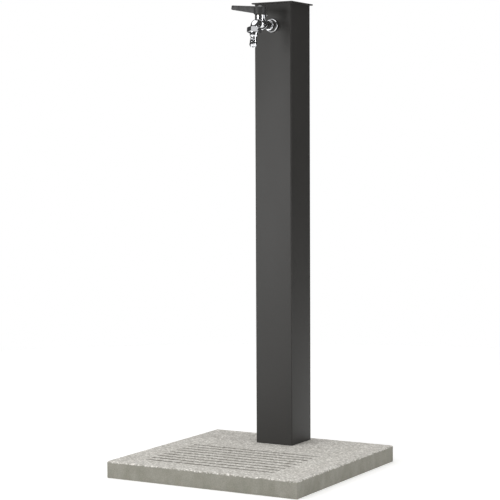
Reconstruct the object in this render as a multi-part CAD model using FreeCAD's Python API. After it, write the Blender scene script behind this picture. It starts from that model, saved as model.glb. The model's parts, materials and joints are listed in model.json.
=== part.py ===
"""Garden water column: a square aluminium standpipe with a ball-valve tap, on a grooved concrete slab.

Units are millimetres. The origin is the middle of the slab's underside, +Z is up, and -Y is the side
where the tap stands out. Each function builds one sub-part in place and returns its shape.
"""
import FreeCAD
import Part

import math
import os

V = FreeCAD.Vector
UP = V(0, 0, 1)
OUT = V(0, -1, 0)
BACK = V(0, 1, 0)
RIGHT = V(1, 0, 0)

# ---------------------------------------------------------------- driving dimensions
# Concrete slab
slab_width = 500.0
slab_depth = 500.0
slab_thickness = 40.0
slab_edge_chamfer = 3.0
groove_count = 9
groove_pitch = 27.0
groove_width = 8.0
groove_depth = 4.0
groove_length = 344.0
groove_front_margin = 63.0      # slab's front edge to the first groove's middle
feed_hole_diameter = 44.0
anchor_cover = 8.0              # concrete left under each cast-in socket
anchor_sleeve_wall = 3.0
anchor_sleeve_floor = 3.0
anchor_bolt_gap = 2.0           # from the bolt's tip to the socket's floor
anchor_washer_thickness = 1.6

# Square column and its cap
column_width = 100.0
column_wall = 2.0
column_corner_radius = 2.5
column_height = 1075.0
column_side_offset = -13.0      # column's middle to the slab's middle, along X
column_rear_gap = 25.0          # column's back to the slab's rear edge
cap_overhang = 6.0
cap_thickness = 3.0
cap_corner_radius = 3.0
cap_edge_chamfer = 0.4
cap_screw_past_insert = 4.0     # insert left below each cap screw's tip
cap_screw_inset = 18.0          # from the column's outer faces
insert_depth = 15.0
insert_wall = 3.0
insert_clearance = 0.1
insert_boss_wall = 2.0
insert_pocket_radius = 2.0
tube_inner_radius = 0.5

# Foot bracket inside the column
foot_clearance = 0.5
foot_thickness = 5.0
foot_upstand_height = 130.0
foot_gusset_thickness = 4.0
foot_gusset_height = 70.0
anchor_inset = 16.0             # from the foot plate's edges
column_screw_half_spacing = 25.0
column_screw_low = 40.0         # above the slab's top
column_screw_rise = 65.0        # from the lower pair to the upper pair

# Fasteners: nominal diameters
anchor_bolt = 8.0
column_screw = 6.0
bracket_screw = 5.0
elbow_screw = 5.0
cap_screw = 4.0
lever_screw = 4.0
screw_hole_clearance = 0.3      # radial, in plain clearance holes
nut_height = 0.8                # of the screw's diameter
nut_corner = 0.4                # chamfer of the small nuts
column_nut_flats = 10.0
bracket_nut_flats = 8.0
screw_past_nut = 1.0

# Pipework: half-inch and three-quarter-inch pipe threads at their major diameters
inlet_thread = 20.955
inlet_thread_minor = 18.631
outlet_thread = 26.441
thread_engagement = 14.0
pipe_diameter = 21.3
pipe_bore = 16.1
coupling_flats = 27.0
coupling_length = 32.0
coupling_ground_gap = 3.0
coupling_chamfer = 1.0
supply_thread_length = 15.0
grommet_wall = 4.0
grommet_flange = 2.4
grommet_flange_thickness = 1.5
elbow_barrel = 28.0
elbow_bore = 15.0
elbow_drop = 32.0
elbow_flange_diameter = 50.0
elbow_flange_thickness = 5.0
elbow_screw_circle = 38.0

# Bracket that carries the tap
tap_drop = 54.0                 # column's top to the tap's inlet axis
bracket_thickness = 4.0
bracket_above = 30.0            # from the inlet axis
bracket_below = 40.0
bracket_side_clearance = 0.5
bracket_lip = 26.0
bracket_screw_inset = 16.0      # from the column's outer side faces
bracket_screw_high = 20.0       # above the inlet axis
bracket_screw_low = 28.0        # below the inlet axis
tap_hole_clearance = 0.8        # radial, round the inlet thread

# Tap, measured outwards from the column's front face
rosette_diameter = 33.0
rosette_length = 20.0
rosette_front_diameter = 24.0
rosette_wall = 1.2
rosette_rim_width = 3.0         # straight part of the rim, along the axis
gasket_thickness = 1.0
gasket_setback = 0.3            # radial, inside the rosette's rim
gasket_width = 3.0
neck_diameter = 21.0
neck_clearance = 0.15
ring_start = 45.5
ring_end = 50.0
ring_diameter = 25.6
ring_chamfer = 0.6
thread_chamfer = 0.8
tail_bore = 14.1
tail_thread_end = 4.0           # where the inlet thread meets the neck
tail_step = 4.0                 # narrow bore behind the inner seat, then a cone as long again
ball_reach = 62.0
ball_diameter = 16.0
ball_bore = 10.0
seat_gap = 0.3                  # between the ball and its seats
seat_diameter = 16.4
seat_thickness = 4.0
housing_diameter = 26.0
housing_barrel = 24.6
cavity_diameter = 17.4
spigot_diameter = 20.0
seat_inner_face = 5.5           # from the ball's middle to each seat's inner face

# Valve stem, measured up from the inlet axis
boss_diameter = 21.5
boss_top = 22.0
stem_diameter = 8.0
stem_clearance = 0.05           # radial running clearance
stem_flange_diameter = 9.6
stem_flange_clearance = 0.3     # radial
stem_flange_bottom = 8.6
stem_flange_top = 10.2
stem_recess_top = 10.5
tang_width = 3.0
ball_slot_web = 0.8             # metal left between the ball's bore and its slot
gland_bottom = 18.5
packing_bottom = 16.0
gland_diameter = 13.0
stem_o_ring_section = 1.5
stem_o_ring_heights = (12.2, 14.4)
drive_square = 6.0
drive_bottom = 26.4
drive_top = 33.8
stop_angle = 30.0               # of the stop lug, from +X towards +Y
stop_reach = 16.5
stop_lug_width = 6.0
stop_lug_foot = 11.0            # where the lug leaves the boss
stop_lug_shoulder = 18.5        # underside at the lug's tip
stop_lug_top = 21.5
stop_lug_root = 2.0             # lug and pin run on into the casting
stop_pin_radius = 11.5
stop_pin_diameter = 3.6
stop_pin_top = 25.8
stop_clearance = 0.4
lever_travel = 90.0             # degrees, closed to open

# Lever handle, measured from the stem's axis and up from the inlet axis
hub_diameter = 30.0
hub_bottom = 22.8
hub_top = 40.5
lever_length = 76.0
lever_rise = 7.5                # degrees above level
lever_axis_height = 32.3
lever_root = 8.0
lever_root_height = 18.0
lever_tip_height = 10.7
lever_root_width = 22.0
lever_tip_width = 15.0
lever_corner_radius = 3.0
drive_gap = 0.2                 # above the drive square and its shoulder
drive_skirt_clearance = 0.6     # radial, round the stem below the square
screw_head_clearance = 0.5      # radial
screw_head_diameter = 8.0
screw_head_height = 2.8
handle_screw_depth = 7.0        # in the stem
stem_tapping_depth = 8.0
screw_seat_height = 36.0
lever_cap_diameter = 11.5
lever_cap_height = 3.5
lever_cap_rim = 1.2
lever_cap_plug = 1.2

# Spout and hose connector; "along" is measured down the outlet axis from the inlet axis's level
outlet_reach = 88.0
outlet_tilt = 8.0               # degrees, leaning away from the column
spout_diameter = 20.0
spout_bore = 10.5
spout_bend = 12.0
outlet_thread_start = 9.5
outlet_end = 16.8
nut_top = 10.5
nut_bottom = 23.0
nut_flats = 30.7
nut_lip = 2.0
nut_thread_clearance = 0.08
nut_lip_clearance = 0.1
washer_thickness = 2.0
washer_diameter = 24.0
washer_bore = 15.0
nut_chamfer = 1.0
collar_gap = 0.1
nipple_diameter = 20.0
nipple_bore = 11.0
nipple_shoulder_end = 30.0
nipple_waist_diameter = 14.6
nipple_waist_start = 34.5
nipple_waist_end = 39.4
nipple_rib_diameter = 16.2
nipple_rib_start = 36.6
nipple_rib_width = 1.2
nipple_land_diameter = 17.0
nipple_land_start = 40.6
nipple_groove_start = 46.4
nipple_groove_end = 48.8
nipple_groove_diameter = 12.8
nipple_tip_ring_diameter = 18.4
nipple_tip_ring_end = 52.2
nipple_end = 57.0
nipple_end_diameter = 14.0

# ---------------------------------------------------------------- derived places
slab_top = slab_thickness
column_x = column_side_offset
column_y = slab_depth / 2 - column_rear_gap - column_width / 2
column_half = column_width / 2
column_inner_half = column_half - column_wall
column_top = slab_top + column_height
front_face_y = column_y - column_half
rear_face_y = column_y + column_half
foot_half = column_inner_half - foot_clearance
anchor_half = foot_half - anchor_inset
sleeve_length = slab_thickness - anchor_cover
tap_z = column_top - tap_drop
ball_centre = V(column_x, front_face_y - ball_reach, tap_z)
tang_bottom = ball_bore / 2 + ball_slot_web
outlet_origin = V(column_x, front_face_y - outlet_reach, tap_z)
outlet_axis = V(0, -math.sin(math.radians(outlet_tilt)), -math.cos(math.radians(outlet_tilt)))
column_bore_y = front_face_y + column_wall          # inner front wall
elbow_face_y = column_bore_y + bracket_thickness    # where the elbow's flange seats
coupling_top = coupling_ground_gap + coupling_length
pipe_bottom = coupling_top - thread_engagement
pipe_top = tap_z - elbow_drop + thread_engagement


# ---------------------------------------------------------------- helpers
def turned(profile, base, axis):
    """Solid of revolution. Each profile entry is (radius, height), or a pair of them for an arc's
    middle and end, and the last joins the first. Heights run along axis from base."""
    def point(pair):
        return V(pair[0], 0, pair[1])

    start = profile[0]
    here = start
    edges = []
    for entry in list(profile[1:]) + [start]:
        if isinstance(entry[0], tuple):
            middle, end = entry
            edges.append(Part.Arc(point(here), point(middle), point(end)).toShape())
        else:
            end = entry
            edges.append(Part.LineSegment(point(here), point(end)).toShape())
        here = end
    solid = Part.Face(Part.Wire(edges)).revolve(V(0, 0, 0), UP, 360)
    solid.Placement = FreeCAD.Placement(base, FreeCAD.Rotation(UP, axis))
    return solid


def dome_middle(radius, low, high):
    """Middle point of a spherical crown's arc, from its rim at low to its top on the axis at high."""
    rise = high - low
    sphere = (radius ** 2 + rise ** 2) / (2 * rise)
    half = math.asin(radius / sphere) / 2
    return (sphere * math.sin(half), high - sphere + sphere * math.cos(half))


def rod(radius, base, axis, start, end):
    """Cylinder along axis from start to end, both measured from base."""
    unit = V(axis).normalize()
    return Part.makeCylinder(radius, end - start, base + unit * start, unit)


def ring(outer, inner, base, axis, start, end):
    """Plain ring along axis from start to end."""
    return turned([(inner, start), (outer, start), (outer, end), (inner, end)], base, axis)


def block(x0, x1, y0, y1, z0, z1):
    """Box between two corners."""
    return Part.makeBox(x1 - x0, y1 - y0, z1 - z0, V(x0, y0, z0))


def rounded_square(half_x, half_y, radius, z0, z1):
    """Upright prism with rounded corners round the column's axis."""
    solid = block(column_x - half_x, column_x + half_x, column_y - half_y, column_y + half_y, z0, z1)
    upright = [e for e in solid.Edges if abs(e.Vertexes[0].Z - e.Vertexes[1].Z) > (z1 - z0) / 2]
    return solid.makeFillet(radius, upright)


def hexagon(flats, base, axis, start, end, chamfer, turn=0.0):
    """Hexagonal prism with both ends chamfered, its corners turned by an angle in degrees."""
    corner = flats / math.sqrt(3)
    points = [V(corner * math.cos(math.radians(turn + 60 * i)),
                corner * math.sin(math.radians(turn + 60 * i)), start) for i in range(7)]
    prism = Part.Face(Part.makePolygon(points)).extrude(V(0, 0, end - start))
    flat = flats / 2
    guard = turned([(0, start), (flat, start), (flat + chamfer * 2, start + chamfer),
                    (flat + chamfer * 2, end - chamfer), (flat, end), (0, end)], V(0, 0, 0), UP)
    solid = prism.common(guard)
    solid.Placement = FreeCAD.Placement(base, FreeCAD.Rotation(UP, axis))
    return solid


def o_ring(centre_radius, section, base, axis, height):
    """Round-section sealing ring."""
    unit = V(axis).normalize()
    return Part.makeTorus(centre_radius, section / 2, base + unit * height, unit)


def fused(shapes):
    """One solid from several."""
    return shapes[0].multiFuse(shapes[1:]).removeSplitter()


def button_screw(size, base, axis, length):
    """Domed socket-head screw; base is under the head and axis points along the shank."""
    head_radius = 0.875 * size
    head_height = 0.55 * size
    key = 0.67 * size
    body = turned([(0, length), (size / 2 - 0.5, length), (size / 2, length - 0.5), (size / 2, 0),
                   (head_radius, 0),
                   ((0.75 * head_radius, -0.72 * head_height), (key * 0.62, -head_height)),
                   (0, -head_height)], base, axis)
    unit = V(axis).normalize()
    socket = hexagon(key, base - unit * (head_height + 0.1), axis, 0, 0.65 * head_height, 0.01)
    return body.cut(socket)


def hex_bolt(size, base, axis, length):
    """Hexagon-head bolt; base is under the head and axis points along the shank."""
    flats, height, chamfer = 1.625 * size, 0.66 * size, 0.06 * size
    head = hexagon(flats, base, axis, -height, 0, chamfer)
    shank = turned([(0, 0), (size / 2, 0), (size / 2, length - 1), (size / 2 - 1, length), (0, length)],
                   base, axis)
    return head.fuse(shank).removeSplitter()


def corners(half):
    """Four points of a square pattern round the column's axis."""
    return [(column_x + sx * half, column_y + sy * half) for sx in (-1, 1) for sy in (-1, 1)]


# ---------------------------------------------------------------- base
def base_slab():
    """Cast slab with drainage grooves, the feed hole and four pockets for anchor sockets."""
    slab = block(-slab_width / 2, slab_width / 2, -slab_depth / 2, slab_depth / 2, 0, slab_thickness)
    top_edges = [e for e in slab.Edges if all(abs(v.Z - slab_top) < 0.01 for v in e.Vertexes)]
    slab = slab.makeChamfer(slab_edge_chamfer, top_edges)
    cuts = []
    straight = groove_length / 2 - groove_width / 2
    floor = slab_top - groove_depth
    for i in range(groove_count):
        y = -slab_depth / 2 + groove_front_margin + i * groove_pitch
        cuts.append(block(column_x - straight, column_x + straight,
                          y - groove_width / 2, y + groove_width / 2, floor, slab_top + 1))
        for side in (-1, 1):
            end = V(column_x + side * straight, y, floor)
            cuts.append(Part.makeCylinder(groove_width / 2, groove_depth + 1, end, UP))
    cuts.append(rod(feed_hole_diameter / 2, V(column_x, column_y, 0), UP, -1, slab_thickness + 1))
    for x, y in corners(anchor_half):
        cuts.append(rod(sleeve_radius(), V(x, y, 0), UP, anchor_cover, slab_thickness + 1))
    return slab.cut(cuts)


def sleeve_radius():
    """Outside radius of a cast-in anchor socket."""
    return anchor_bolt / 2 + anchor_sleeve_wall


def anchor_sleeves():
    """Cast-in threaded sockets, closed at the bottom."""
    wall = sleeve_radius()
    bore = anchor_bolt / 2
    floor = anchor_sleeve_floor
    sleeves = [turned([(0, 0), (wall, 0), (wall, sleeve_length), (bore, sleeve_length), (bore, floor),
                       (0, floor)], V(x, y, anchor_cover), UP) for x, y in corners(anchor_half)]
    return Part.makeCompound(sleeves)


def anchor_washers():
    """Plain washers under the anchor bolts."""
    z = slab_top + foot_thickness
    return Part.makeCompound([ring(anchor_bolt, anchor_bolt / 2 + screw_hole_clearance, V(x, y, z), UP,
                                   0, anchor_washer_thickness) for x, y in corners(anchor_half)])


def anchor_bolts():
    """Hexagon bolts that hold the foot bracket down."""
    under_head = slab_top + foot_thickness + anchor_washer_thickness
    length = under_head - anchor_cover - anchor_sleeve_floor - anchor_bolt_gap
    return Part.makeCompound([hex_bolt(anchor_bolt, V(x, y, under_head), V(0, 0, -1), length)
                              for x, y in corners(anchor_half)])


def column_screw_places():
    """X and Z of the screws through the column's back into the foot bracket."""
    low = slab_top + column_screw_low
    return [(column_x + side * column_screw_half_spacing, z)
            for side in (-1, 1) for z in (low, low + column_screw_rise)]


def foot_bracket():
    """Base plate with a rear upstand and two gussets."""
    left, right = column_x - foot_half, column_x + foot_half
    front, rear = column_y - foot_half, column_y + foot_half
    plate = block(left, right, front, rear, slab_top, slab_top + foot_thickness)
    upstand = block(left, right, rear - foot_thickness, rear, slab_top, slab_top + foot_upstand_height)
    parts = [plate, upstand]
    inner = rear - foot_thickness
    shelf = slab_top + foot_thickness
    for x in (left, right - foot_gusset_thickness):
        outline = Part.makePolygon([V(x, inner, shelf), V(x, inner, shelf + foot_gusset_height),
                                    V(x, front + anchor_inset, shelf), V(x, inner, shelf)])
        parts.append(Part.Face(outline).extrude(V(foot_gusset_thickness, 0, 0)))
    bracket = fused(parts)
    cuts = [rod(pipe_diameter / 2 + grommet_wall, V(column_x, column_y, 0), UP, slab_top - 1, shelf + 1)]
    for x, y in corners(anchor_half):
        cuts.append(rod(anchor_bolt / 2 + screw_hole_clearance, V(x, y, 0), UP, slab_top - 1, shelf + 1))
    for x, z in column_screw_places():
        cuts.append(rod(column_screw / 2 + screw_hole_clearance, V(x, inner, z), BACK,
                        -1, foot_thickness + 1))
    return bracket.cut(cuts)


def foot_nuts():
    """Weld nuts on the foot bracket's upstand."""
    face = column_y + foot_half - foot_thickness
    depth = nut_height * column_screw
    nuts = []
    for x, z in column_screw_places():
        base = V(x, face - depth, z)
        nut = hexagon(column_nut_flats, base, BACK, 0, depth, nut_corner)
        nuts.append(nut.cut(rod(column_screw / 2, base, BACK, -1, depth + 1)))
    return Part.makeCompound(nuts)


def column_screws():
    """Button-head screws through the column's back."""
    length = column_wall + foot_clearance + foot_thickness + nut_height * column_screw + screw_past_nut
    return Part.makeCompound([button_screw(column_screw, V(x, rear_face_y, z), OUT, length)
                              for x, z in column_screw_places()])


# ---------------------------------------------------------------- column and cap
def bracket_screw_places():
    """X and Z of the screws through the column's back into the tap bracket."""
    offset = column_half - bracket_screw_inset
    return [(column_x + side * offset, tap_z + z)
            for side in (-1, 1) for z in (bracket_screw_high, -bracket_screw_low)]


def column_tube():
    """Square tube with the tap's hole in front and screw holes at the back."""
    inner_radius = max(column_corner_radius - column_wall, tube_inner_radius)
    tube = rounded_square(column_half, column_half, column_corner_radius, slab_top, column_top)
    tube = tube.cut(rounded_square(column_inner_half, column_inner_half, inner_radius,
                                   slab_top - 1, column_top + 1))
    tap_hole = inlet_thread / 2 + tap_hole_clearance
    cuts = [rod(tap_hole, V(column_x, front_face_y, tap_z), BACK, -1, column_wall + 1)]
    for size, places in ((column_screw, column_screw_places()), (bracket_screw, bracket_screw_places())):
        for x, z in places:
            cuts.append(rod(size / 2 + screw_hole_clearance, V(x, rear_face_y, z), OUT,
                            -1, column_wall + 1))
    return tube.cut(cuts)


def cap_screw_places():
    """Corners of the cap's screw pattern."""
    return corners(column_half - cap_screw_inset)


def top_cap():
    """Flat cover plate with countersunk holes."""
    half = column_half + cap_overhang
    cap = rounded_square(half, half, cap_corner_radius, column_top, column_top + cap_thickness)
    rim = [e for e in cap.Edges if all(v.Z > column_top + cap_thickness - 0.01 for v in e.Vertexes)]
    cap = cap.makeChamfer(cap_edge_chamfer, rim)
    surface = column_top + cap_thickness
    cuts = [countersunk(x, y, surface, cap_thickness + 1, screw_hole_clearance)
            for x, y in cap_screw_places()]
    return cap.cut(cuts)


def countersunk(x, y, surface, length, clearance):
    """Countersunk head and shank, flush with surface and pointing down, or the hole for it."""
    shank = cap_screw / 2 + clearance
    head = cap_screw
    return turned([(0, 0), (head, 0), (shank, shank - head), (shank, -length), (0, -length)],
                  V(x, y, surface), UP)


def cap_screws():
    """Countersunk screws that hold the cap on its insert."""
    surface = column_top + cap_thickness
    length = cap_thickness + insert_depth - cap_screw_past_insert
    screws = []
    for x, y in cap_screw_places():
        screw = countersunk(x, y, surface, length, 0)
        drive = hexagon(0.6 * cap_screw, V(x, y, surface - 1.3), UP, 0, 2.0, 0.01)
        screws.append(screw.cut(drive))
    return Part.makeCompound(screws)


def cap_insert():
    """Push-in plug that fills the column's top, open below, with a boss for each cap screw."""
    half = column_inner_half - insert_clearance
    inner_radius = max(column_corner_radius - column_wall, tube_inner_radius)
    bottom = column_top - insert_depth
    plug = rounded_square(half, half, inner_radius, bottom, column_top)
    pocket = half - insert_wall
    hollow = rounded_square(pocket, pocket, insert_pocket_radius, bottom - 1, column_top - insert_wall)
    boss = cap_screw + insert_boss_wall
    bosses = [rod(boss, V(x, y, bottom), UP, -1, insert_depth) for x, y in cap_screw_places()]
    plug = plug.cut(hollow.cut(bosses))
    bores = [rod(cap_screw / 2, V(x, y, bottom), UP, -1, insert_depth + 1)
             for x, y in cap_screw_places()]
    return plug.cut(bores)


# ---------------------------------------------------------------- pipework inside
def tap_bracket():
    """Folded bracket: a web behind the column's front wall, two sides, and two lips at the back."""
    half = column_inner_half - bracket_side_clearance
    front, rear = column_bore_y, rear_face_y - column_wall
    low, high = tap_z - bracket_below, tap_z + bracket_above
    t = bracket_thickness
    parts = [block(column_x - half, column_x + half, front, front + t, low, high)]
    for side in (-1, 1):
        outer = column_x + side * half
        inner = outer - side * t
        lip = outer - side * bracket_lip
        parts.append(block(min(outer, inner), max(outer, inner), front, rear, low, high))
        parts.append(block(min(outer, lip), max(outer, lip), rear - t, rear, low, high))
    bracket = fused(parts)
    tap_hole = inlet_thread / 2 + tap_hole_clearance
    cuts = [rod(tap_hole, V(column_x, front, tap_z), BACK, -1, t + 1)]
    for x, z in elbow_screw_places():
        cuts.append(rod(elbow_screw / 2, V(x, front, z), BACK, -1, t + 1))
    for x, z in bracket_screw_places():
        cuts.append(rod(bracket_screw / 2 + screw_hole_clearance, V(x, rear, z), OUT, -1, t + 1))
    return bracket.cut(cuts)


def bracket_nuts():
    """Weld nuts on the tap bracket's lips."""
    face = rear_face_y - column_wall - bracket_thickness
    depth = nut_height * bracket_screw
    nuts = []
    for x, z in bracket_screw_places():
        base = V(x, face - depth, z)
        nut = hexagon(bracket_nut_flats, base, BACK, 0, depth, nut_corner)
        nuts.append(nut.cut(rod(bracket_screw / 2, base, BACK, -1, depth + 1)))
    return Part.makeCompound(nuts)


def bracket_screws():
    """Button-head screws that hold the tap bracket from behind."""
    length = column_wall + bracket_thickness + nut_height * bracket_screw + screw_past_nut
    return Part.makeCompound([button_screw(bracket_screw, V(x, rear_face_y, z), OUT, length)
                              for x, z in bracket_screw_places()])


def elbow_screw_places():
    """X and Z of the screws in the elbow's flange."""
    radius = elbow_screw_circle / 2
    return [(column_x + radius * math.cos(math.radians(a)), tap_z + radius * math.sin(math.radians(a)))
            for a in (30, 150, 270)]


def wall_elbow():
    """Flanged elbow: a threaded socket facing the tap and another facing down to the riser."""
    corner = V(column_x, column_y, tap_z)
    face = V(column_x, elbow_face_y, tap_z)
    reach = column_y - elbow_face_y
    barrel = elbow_barrel / 2
    thread = inlet_thread / 2
    body = fused([rod(elbow_flange_diameter / 2, face, BACK, 0, elbow_flange_thickness),
                  rod(barrel, face, BACK, 0, reach), Part.makeSphere(barrel, corner),
                  rod(barrel, corner, V(0, 0, -1), 0, elbow_drop)])
    cuts = [rod(thread, face, BACK, -1, thread_engagement), rod(elbow_bore / 2, face, BACK, 0, reach),
            Part.makeSphere(elbow_bore / 2, corner),
            rod(elbow_bore / 2, corner, V(0, 0, -1), 0, elbow_drop),
            rod(thread, corner, V(0, 0, -1), elbow_drop - thread_engagement, elbow_drop + 1)]
    for x, z in elbow_screw_places():
        cuts.append(rod(elbow_screw / 2 + screw_hole_clearance, V(x, elbow_face_y, z), BACK,
                        -1, elbow_flange_thickness + 1))
    return body.cut(cuts)


def elbow_screws():
    """Button-head screws through the elbow's flange into the bracket's web."""
    head_y = elbow_face_y + elbow_flange_thickness
    length = elbow_flange_thickness + bracket_thickness
    return Part.makeCompound([button_screw(elbow_screw, V(x, head_y, z), OUT, length)
                              for x, z in elbow_screw_places()])


def riser_pipe():
    """Straight pipe with a thread at each end."""
    thread = inlet_thread / 2
    radius = pipe_diameter / 2
    bore = pipe_bore / 2
    low, high = pipe_bottom + thread_engagement, pipe_top - thread_engagement
    return turned([(bore, pipe_bottom), (thread, pipe_bottom), (thread, low), (radius, low),
                   (radius, high), (thread, high), (thread, pipe_top), (bore, pipe_top)],
                  V(column_x, column_y, 0), UP)


def feed_coupling():
    """Hexagonal socket on the riser's lower end, with a free thread facing down."""
    axis_base = V(column_x, column_y, 0)
    body = hexagon(coupling_flats, axis_base, UP, coupling_ground_gap, coupling_top,
                   coupling_chamfer)
    supply = coupling_ground_gap + supply_thread_length
    cuts = [rod(inlet_thread_minor / 2, axis_base, UP, coupling_ground_gap - 1, supply),
            rod(pipe_bore / 2, axis_base, UP, supply - 1, coupling_top),
            rod(inlet_thread / 2, axis_base, UP, pipe_bottom, coupling_top + 1)]
    return body.cut(cuts)


def pipe_grommet():
    """Rubber grommet between the riser and the foot plate."""
    bore = pipe_diameter / 2
    waist = bore + grommet_wall
    flange = waist + grommet_flange
    low, high = slab_top, slab_top + foot_thickness
    t = grommet_flange_thickness
    return turned([(bore, low - t), (flange, low - t), (flange, low), (waist, low), (waist, high),
                   (flange, high), (flange, high + t), (bore, high + t)], V(column_x, column_y, 0), UP)


# ---------------------------------------------------------------- tap
def inlet_base():
    """Point on the inlet axis at the column's front face."""
    return V(column_x, front_face_y, tap_z)


def rosette_gasket():
    """Thin rubber ring behind the rosette."""
    outer = rosette_diameter / 2 - gasket_setback
    return ring(outer, outer - gasket_width, inlet_base(), OUT, 0, gasket_thickness)


def rosette():
    """Bell-shaped cover round the inlet neck, hollow behind."""
    rim = rosette_diameter / 2
    front = rosette_front_diameter / 2
    bore = neck_diameter / 2 + neck_clearance
    back = gasket_thickness
    length = rosette_length
    w = rosette_wall
    straight = back + rosette_rim_width
    outside = [(rim - w, back), (rim, back), (rim, straight),
               ((rim - 0.7, straight + 2.0), (rim - 2.2, straight + 3.4)),
               ((front + 0.8, length - 6.0), (front, length))]
    inside = [(bore, length), (bore, length - w), (front - w, length - w),
              ((front + 0.8 - w, length - 6.6), (rim - 2.2 - w, straight + 3.0)),
              ((rim - 1.2 - w, straight + 1.6), (rim - w, straight))]
    return turned(outside + inside, inlet_base(), OUT)


def inlet_tail():
    """Threaded tail with its neck, wrench ring and the spigot that holds the inner seat."""
    thread = inlet_thread / 2
    neck = neck_diameter / 2
    ring_radius = ring_diameter / 2
    spigot = spigot_diameter / 2
    spigot_end = ball_reach - seat_inner_face
    seat_back = spigot_end - seat_thickness
    start = -(column_wall + bracket_thickness + thread_engagement)
    bore = spout_bore / 2
    wide = tail_bore / 2
    c = ring_chamfer
    outside = [(wide, start), (thread - thread_chamfer, start), (thread, start + thread_chamfer),
               (thread, tail_thread_end), (neck, tail_thread_end), (neck, ring_start),
               (ring_radius - c, ring_start), (ring_radius, ring_start + c),
               (ring_radius, ring_end - c), (ring_radius - c, ring_end), (spigot, ring_end),
               (spigot, spigot_end)]
    inside = [(seat_diameter / 2, spigot_end), (seat_diameter / 2, seat_back), (bore, seat_back),
              (bore, seat_back - tail_step), (wide, seat_back - 2 * tail_step)]
    return turned(outside + inside, inlet_base(), OUT)


def bent_rod(radius, along_end):
    """Round bar that follows the spout's middle line from the ball to a point on the outlet axis."""
    turn = 90.0 - outlet_tilt
    tangent = spout_bend * math.tan(math.radians(turn / 2))
    bend_start = outlet_origin - OUT * tangent
    bend_centre = bend_start - UP * spout_bend
    first = rod(radius, ball_centre, OUT, 0, outlet_reach - ball_reach - tangent)
    disc = Part.Face(Part.Wire(Part.makeCircle(radius, bend_start, OUT)))
    bend = disc.revolve(bend_centre, RIGHT, turn)
    last = rod(radius, outlet_origin, outlet_axis, tangent, along_end)
    return fused([first, bend, last])


def valve_body():
    """Housing, stem boss with its stop lug, and the spout that bends down to the outlet thread."""
    housing = Part.makeSphere(housing_diameter / 2, ball_centre)
    barrel = rod(housing_barrel / 2, inlet_base(), OUT, ring_end, ball_reach)
    boss = rod(boss_diameter / 2, ball_centre, UP, 0, boss_top)
    spout = bent_rod(spout_diameter / 2, outlet_end)
    crest = outlet_thread / 2
    c = thread_chamfer
    thread = turned([(0, outlet_thread_start), (crest - c, outlet_thread_start),
                     (crest, outlet_thread_start + c), (crest, outlet_end - c), (crest - c, outlet_end),
                     (0, outlet_end)], outlet_origin, outlet_axis)
    body = fused([housing, barrel, boss, spout, thread, stop_lug()])
    seat_back = seat_inner_face + seat_thickness
    cuts = [rod(spigot_diameter / 2, inlet_base(), OUT, ring_end - 1, ball_reach - seat_inner_face),
            rod(cavity_diameter / 2, ball_centre, OUT, -seat_inner_face - 0.1, seat_inner_face),
            rod(seat_diameter / 2, ball_centre, OUT, 0, seat_back),
            bent_rod(spout_bore / 2, outlet_end + 1),
            rod(stem_flange_diameter / 2 + stem_flange_clearance, ball_centre, UP, 0, stem_recess_top),
            rod(stem_diameter / 2 + stem_clearance, ball_centre, UP, 0, boss_top + 1),
            rod(gland_diameter / 2, ball_centre, UP, packing_bottom, boss_top + 1)]
    return body.cut(cuts)


def stop_lug():
    """Wedge on the boss with an upright pin that limits the lever's swing."""
    inner = boss_diameter / 2 - stop_lug_root
    half = stop_lug_width / 2
    corner = inner + stop_lug_root + 0.5
    outline = Part.makePolygon([V(inner, -half, stop_lug_foot), V(corner, -half, stop_lug_foot),
                                V(stop_reach, -half, stop_lug_shoulder),
                                V(stop_reach, -half, stop_lug_top),
                                V(inner, -half, stop_lug_top), V(inner, -half, stop_lug_foot)])
    wedge = Part.Face(outline).extrude(V(0, stop_lug_width, 0))
    pin = rod(stop_pin_diameter / 2, V(stop_pin_radius, 0, 0), UP, stop_lug_top - stop_lug_root,
              stop_pin_top)
    lug = wedge.fuse(pin)
    lug.rotate(V(0, 0, 0), UP, stop_angle)
    lug.translate(ball_centre)
    return lug


def seat_ring(side):
    """Plastic seat; side is +1 towards the outlet and -1 towards the inlet."""
    direction = OUT * side
    washer = ring(seat_diameter / 2, spout_bore / 2, ball_centre, direction,
                  seat_inner_face, seat_inner_face + seat_thickness)
    return washer.cut(Part.makeSphere(ball_diameter / 2 + seat_gap, ball_centre))


def valve_ball():
    """Bored ball, drawn closed, with a slot for the stem's tang."""
    ball = Part.makeSphere(ball_diameter / 2, ball_centre)
    bore = rod(ball_bore / 2, ball_centre, RIGHT, -ball_diameter, ball_diameter)
    half = tang_width / 2
    slot = block(-ball_diameter, ball_diameter, -half, half, tang_bottom, ball_diameter)
    slot.translate(ball_centre)
    return ball.cut([bore, slot])


def valve_stem():
    """Stem with a tang below, an anti-blow-out flange, two seal grooves and a square drive."""
    radius = stem_diameter / 2
    flange = stem_flange_diameter / 2
    section = stem_o_ring_section
    floor = radius - section + 0.2
    profile = [(0, stem_flange_bottom), (flange, stem_flange_bottom), (flange, stem_flange_top),
               (radius, stem_flange_top)]
    for height in stem_o_ring_heights:
        low, high = height - section / 2, height + section / 2
        profile += [(radius, low), (floor, low), (floor, high), (radius, high)]
    profile += [(radius, drive_bottom), (0, drive_bottom)]
    body = turned(profile, ball_centre, UP)
    half = drive_square / 2
    drive = block(-half, half, -half, half, drive_bottom - 1, drive_top)
    tang = block(-4.0, 4.0, -tang_width / 2, tang_width / 2, tang_bottom, stem_flange_bottom + 1)
    drive.translate(ball_centre)
    tang.translate(ball_centre)
    tapped = rod(lever_screw / 2, ball_centre, UP, drive_top - stem_tapping_depth, drive_top + 1)
    return fused([body, drive, tang]).cut(tapped)


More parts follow.
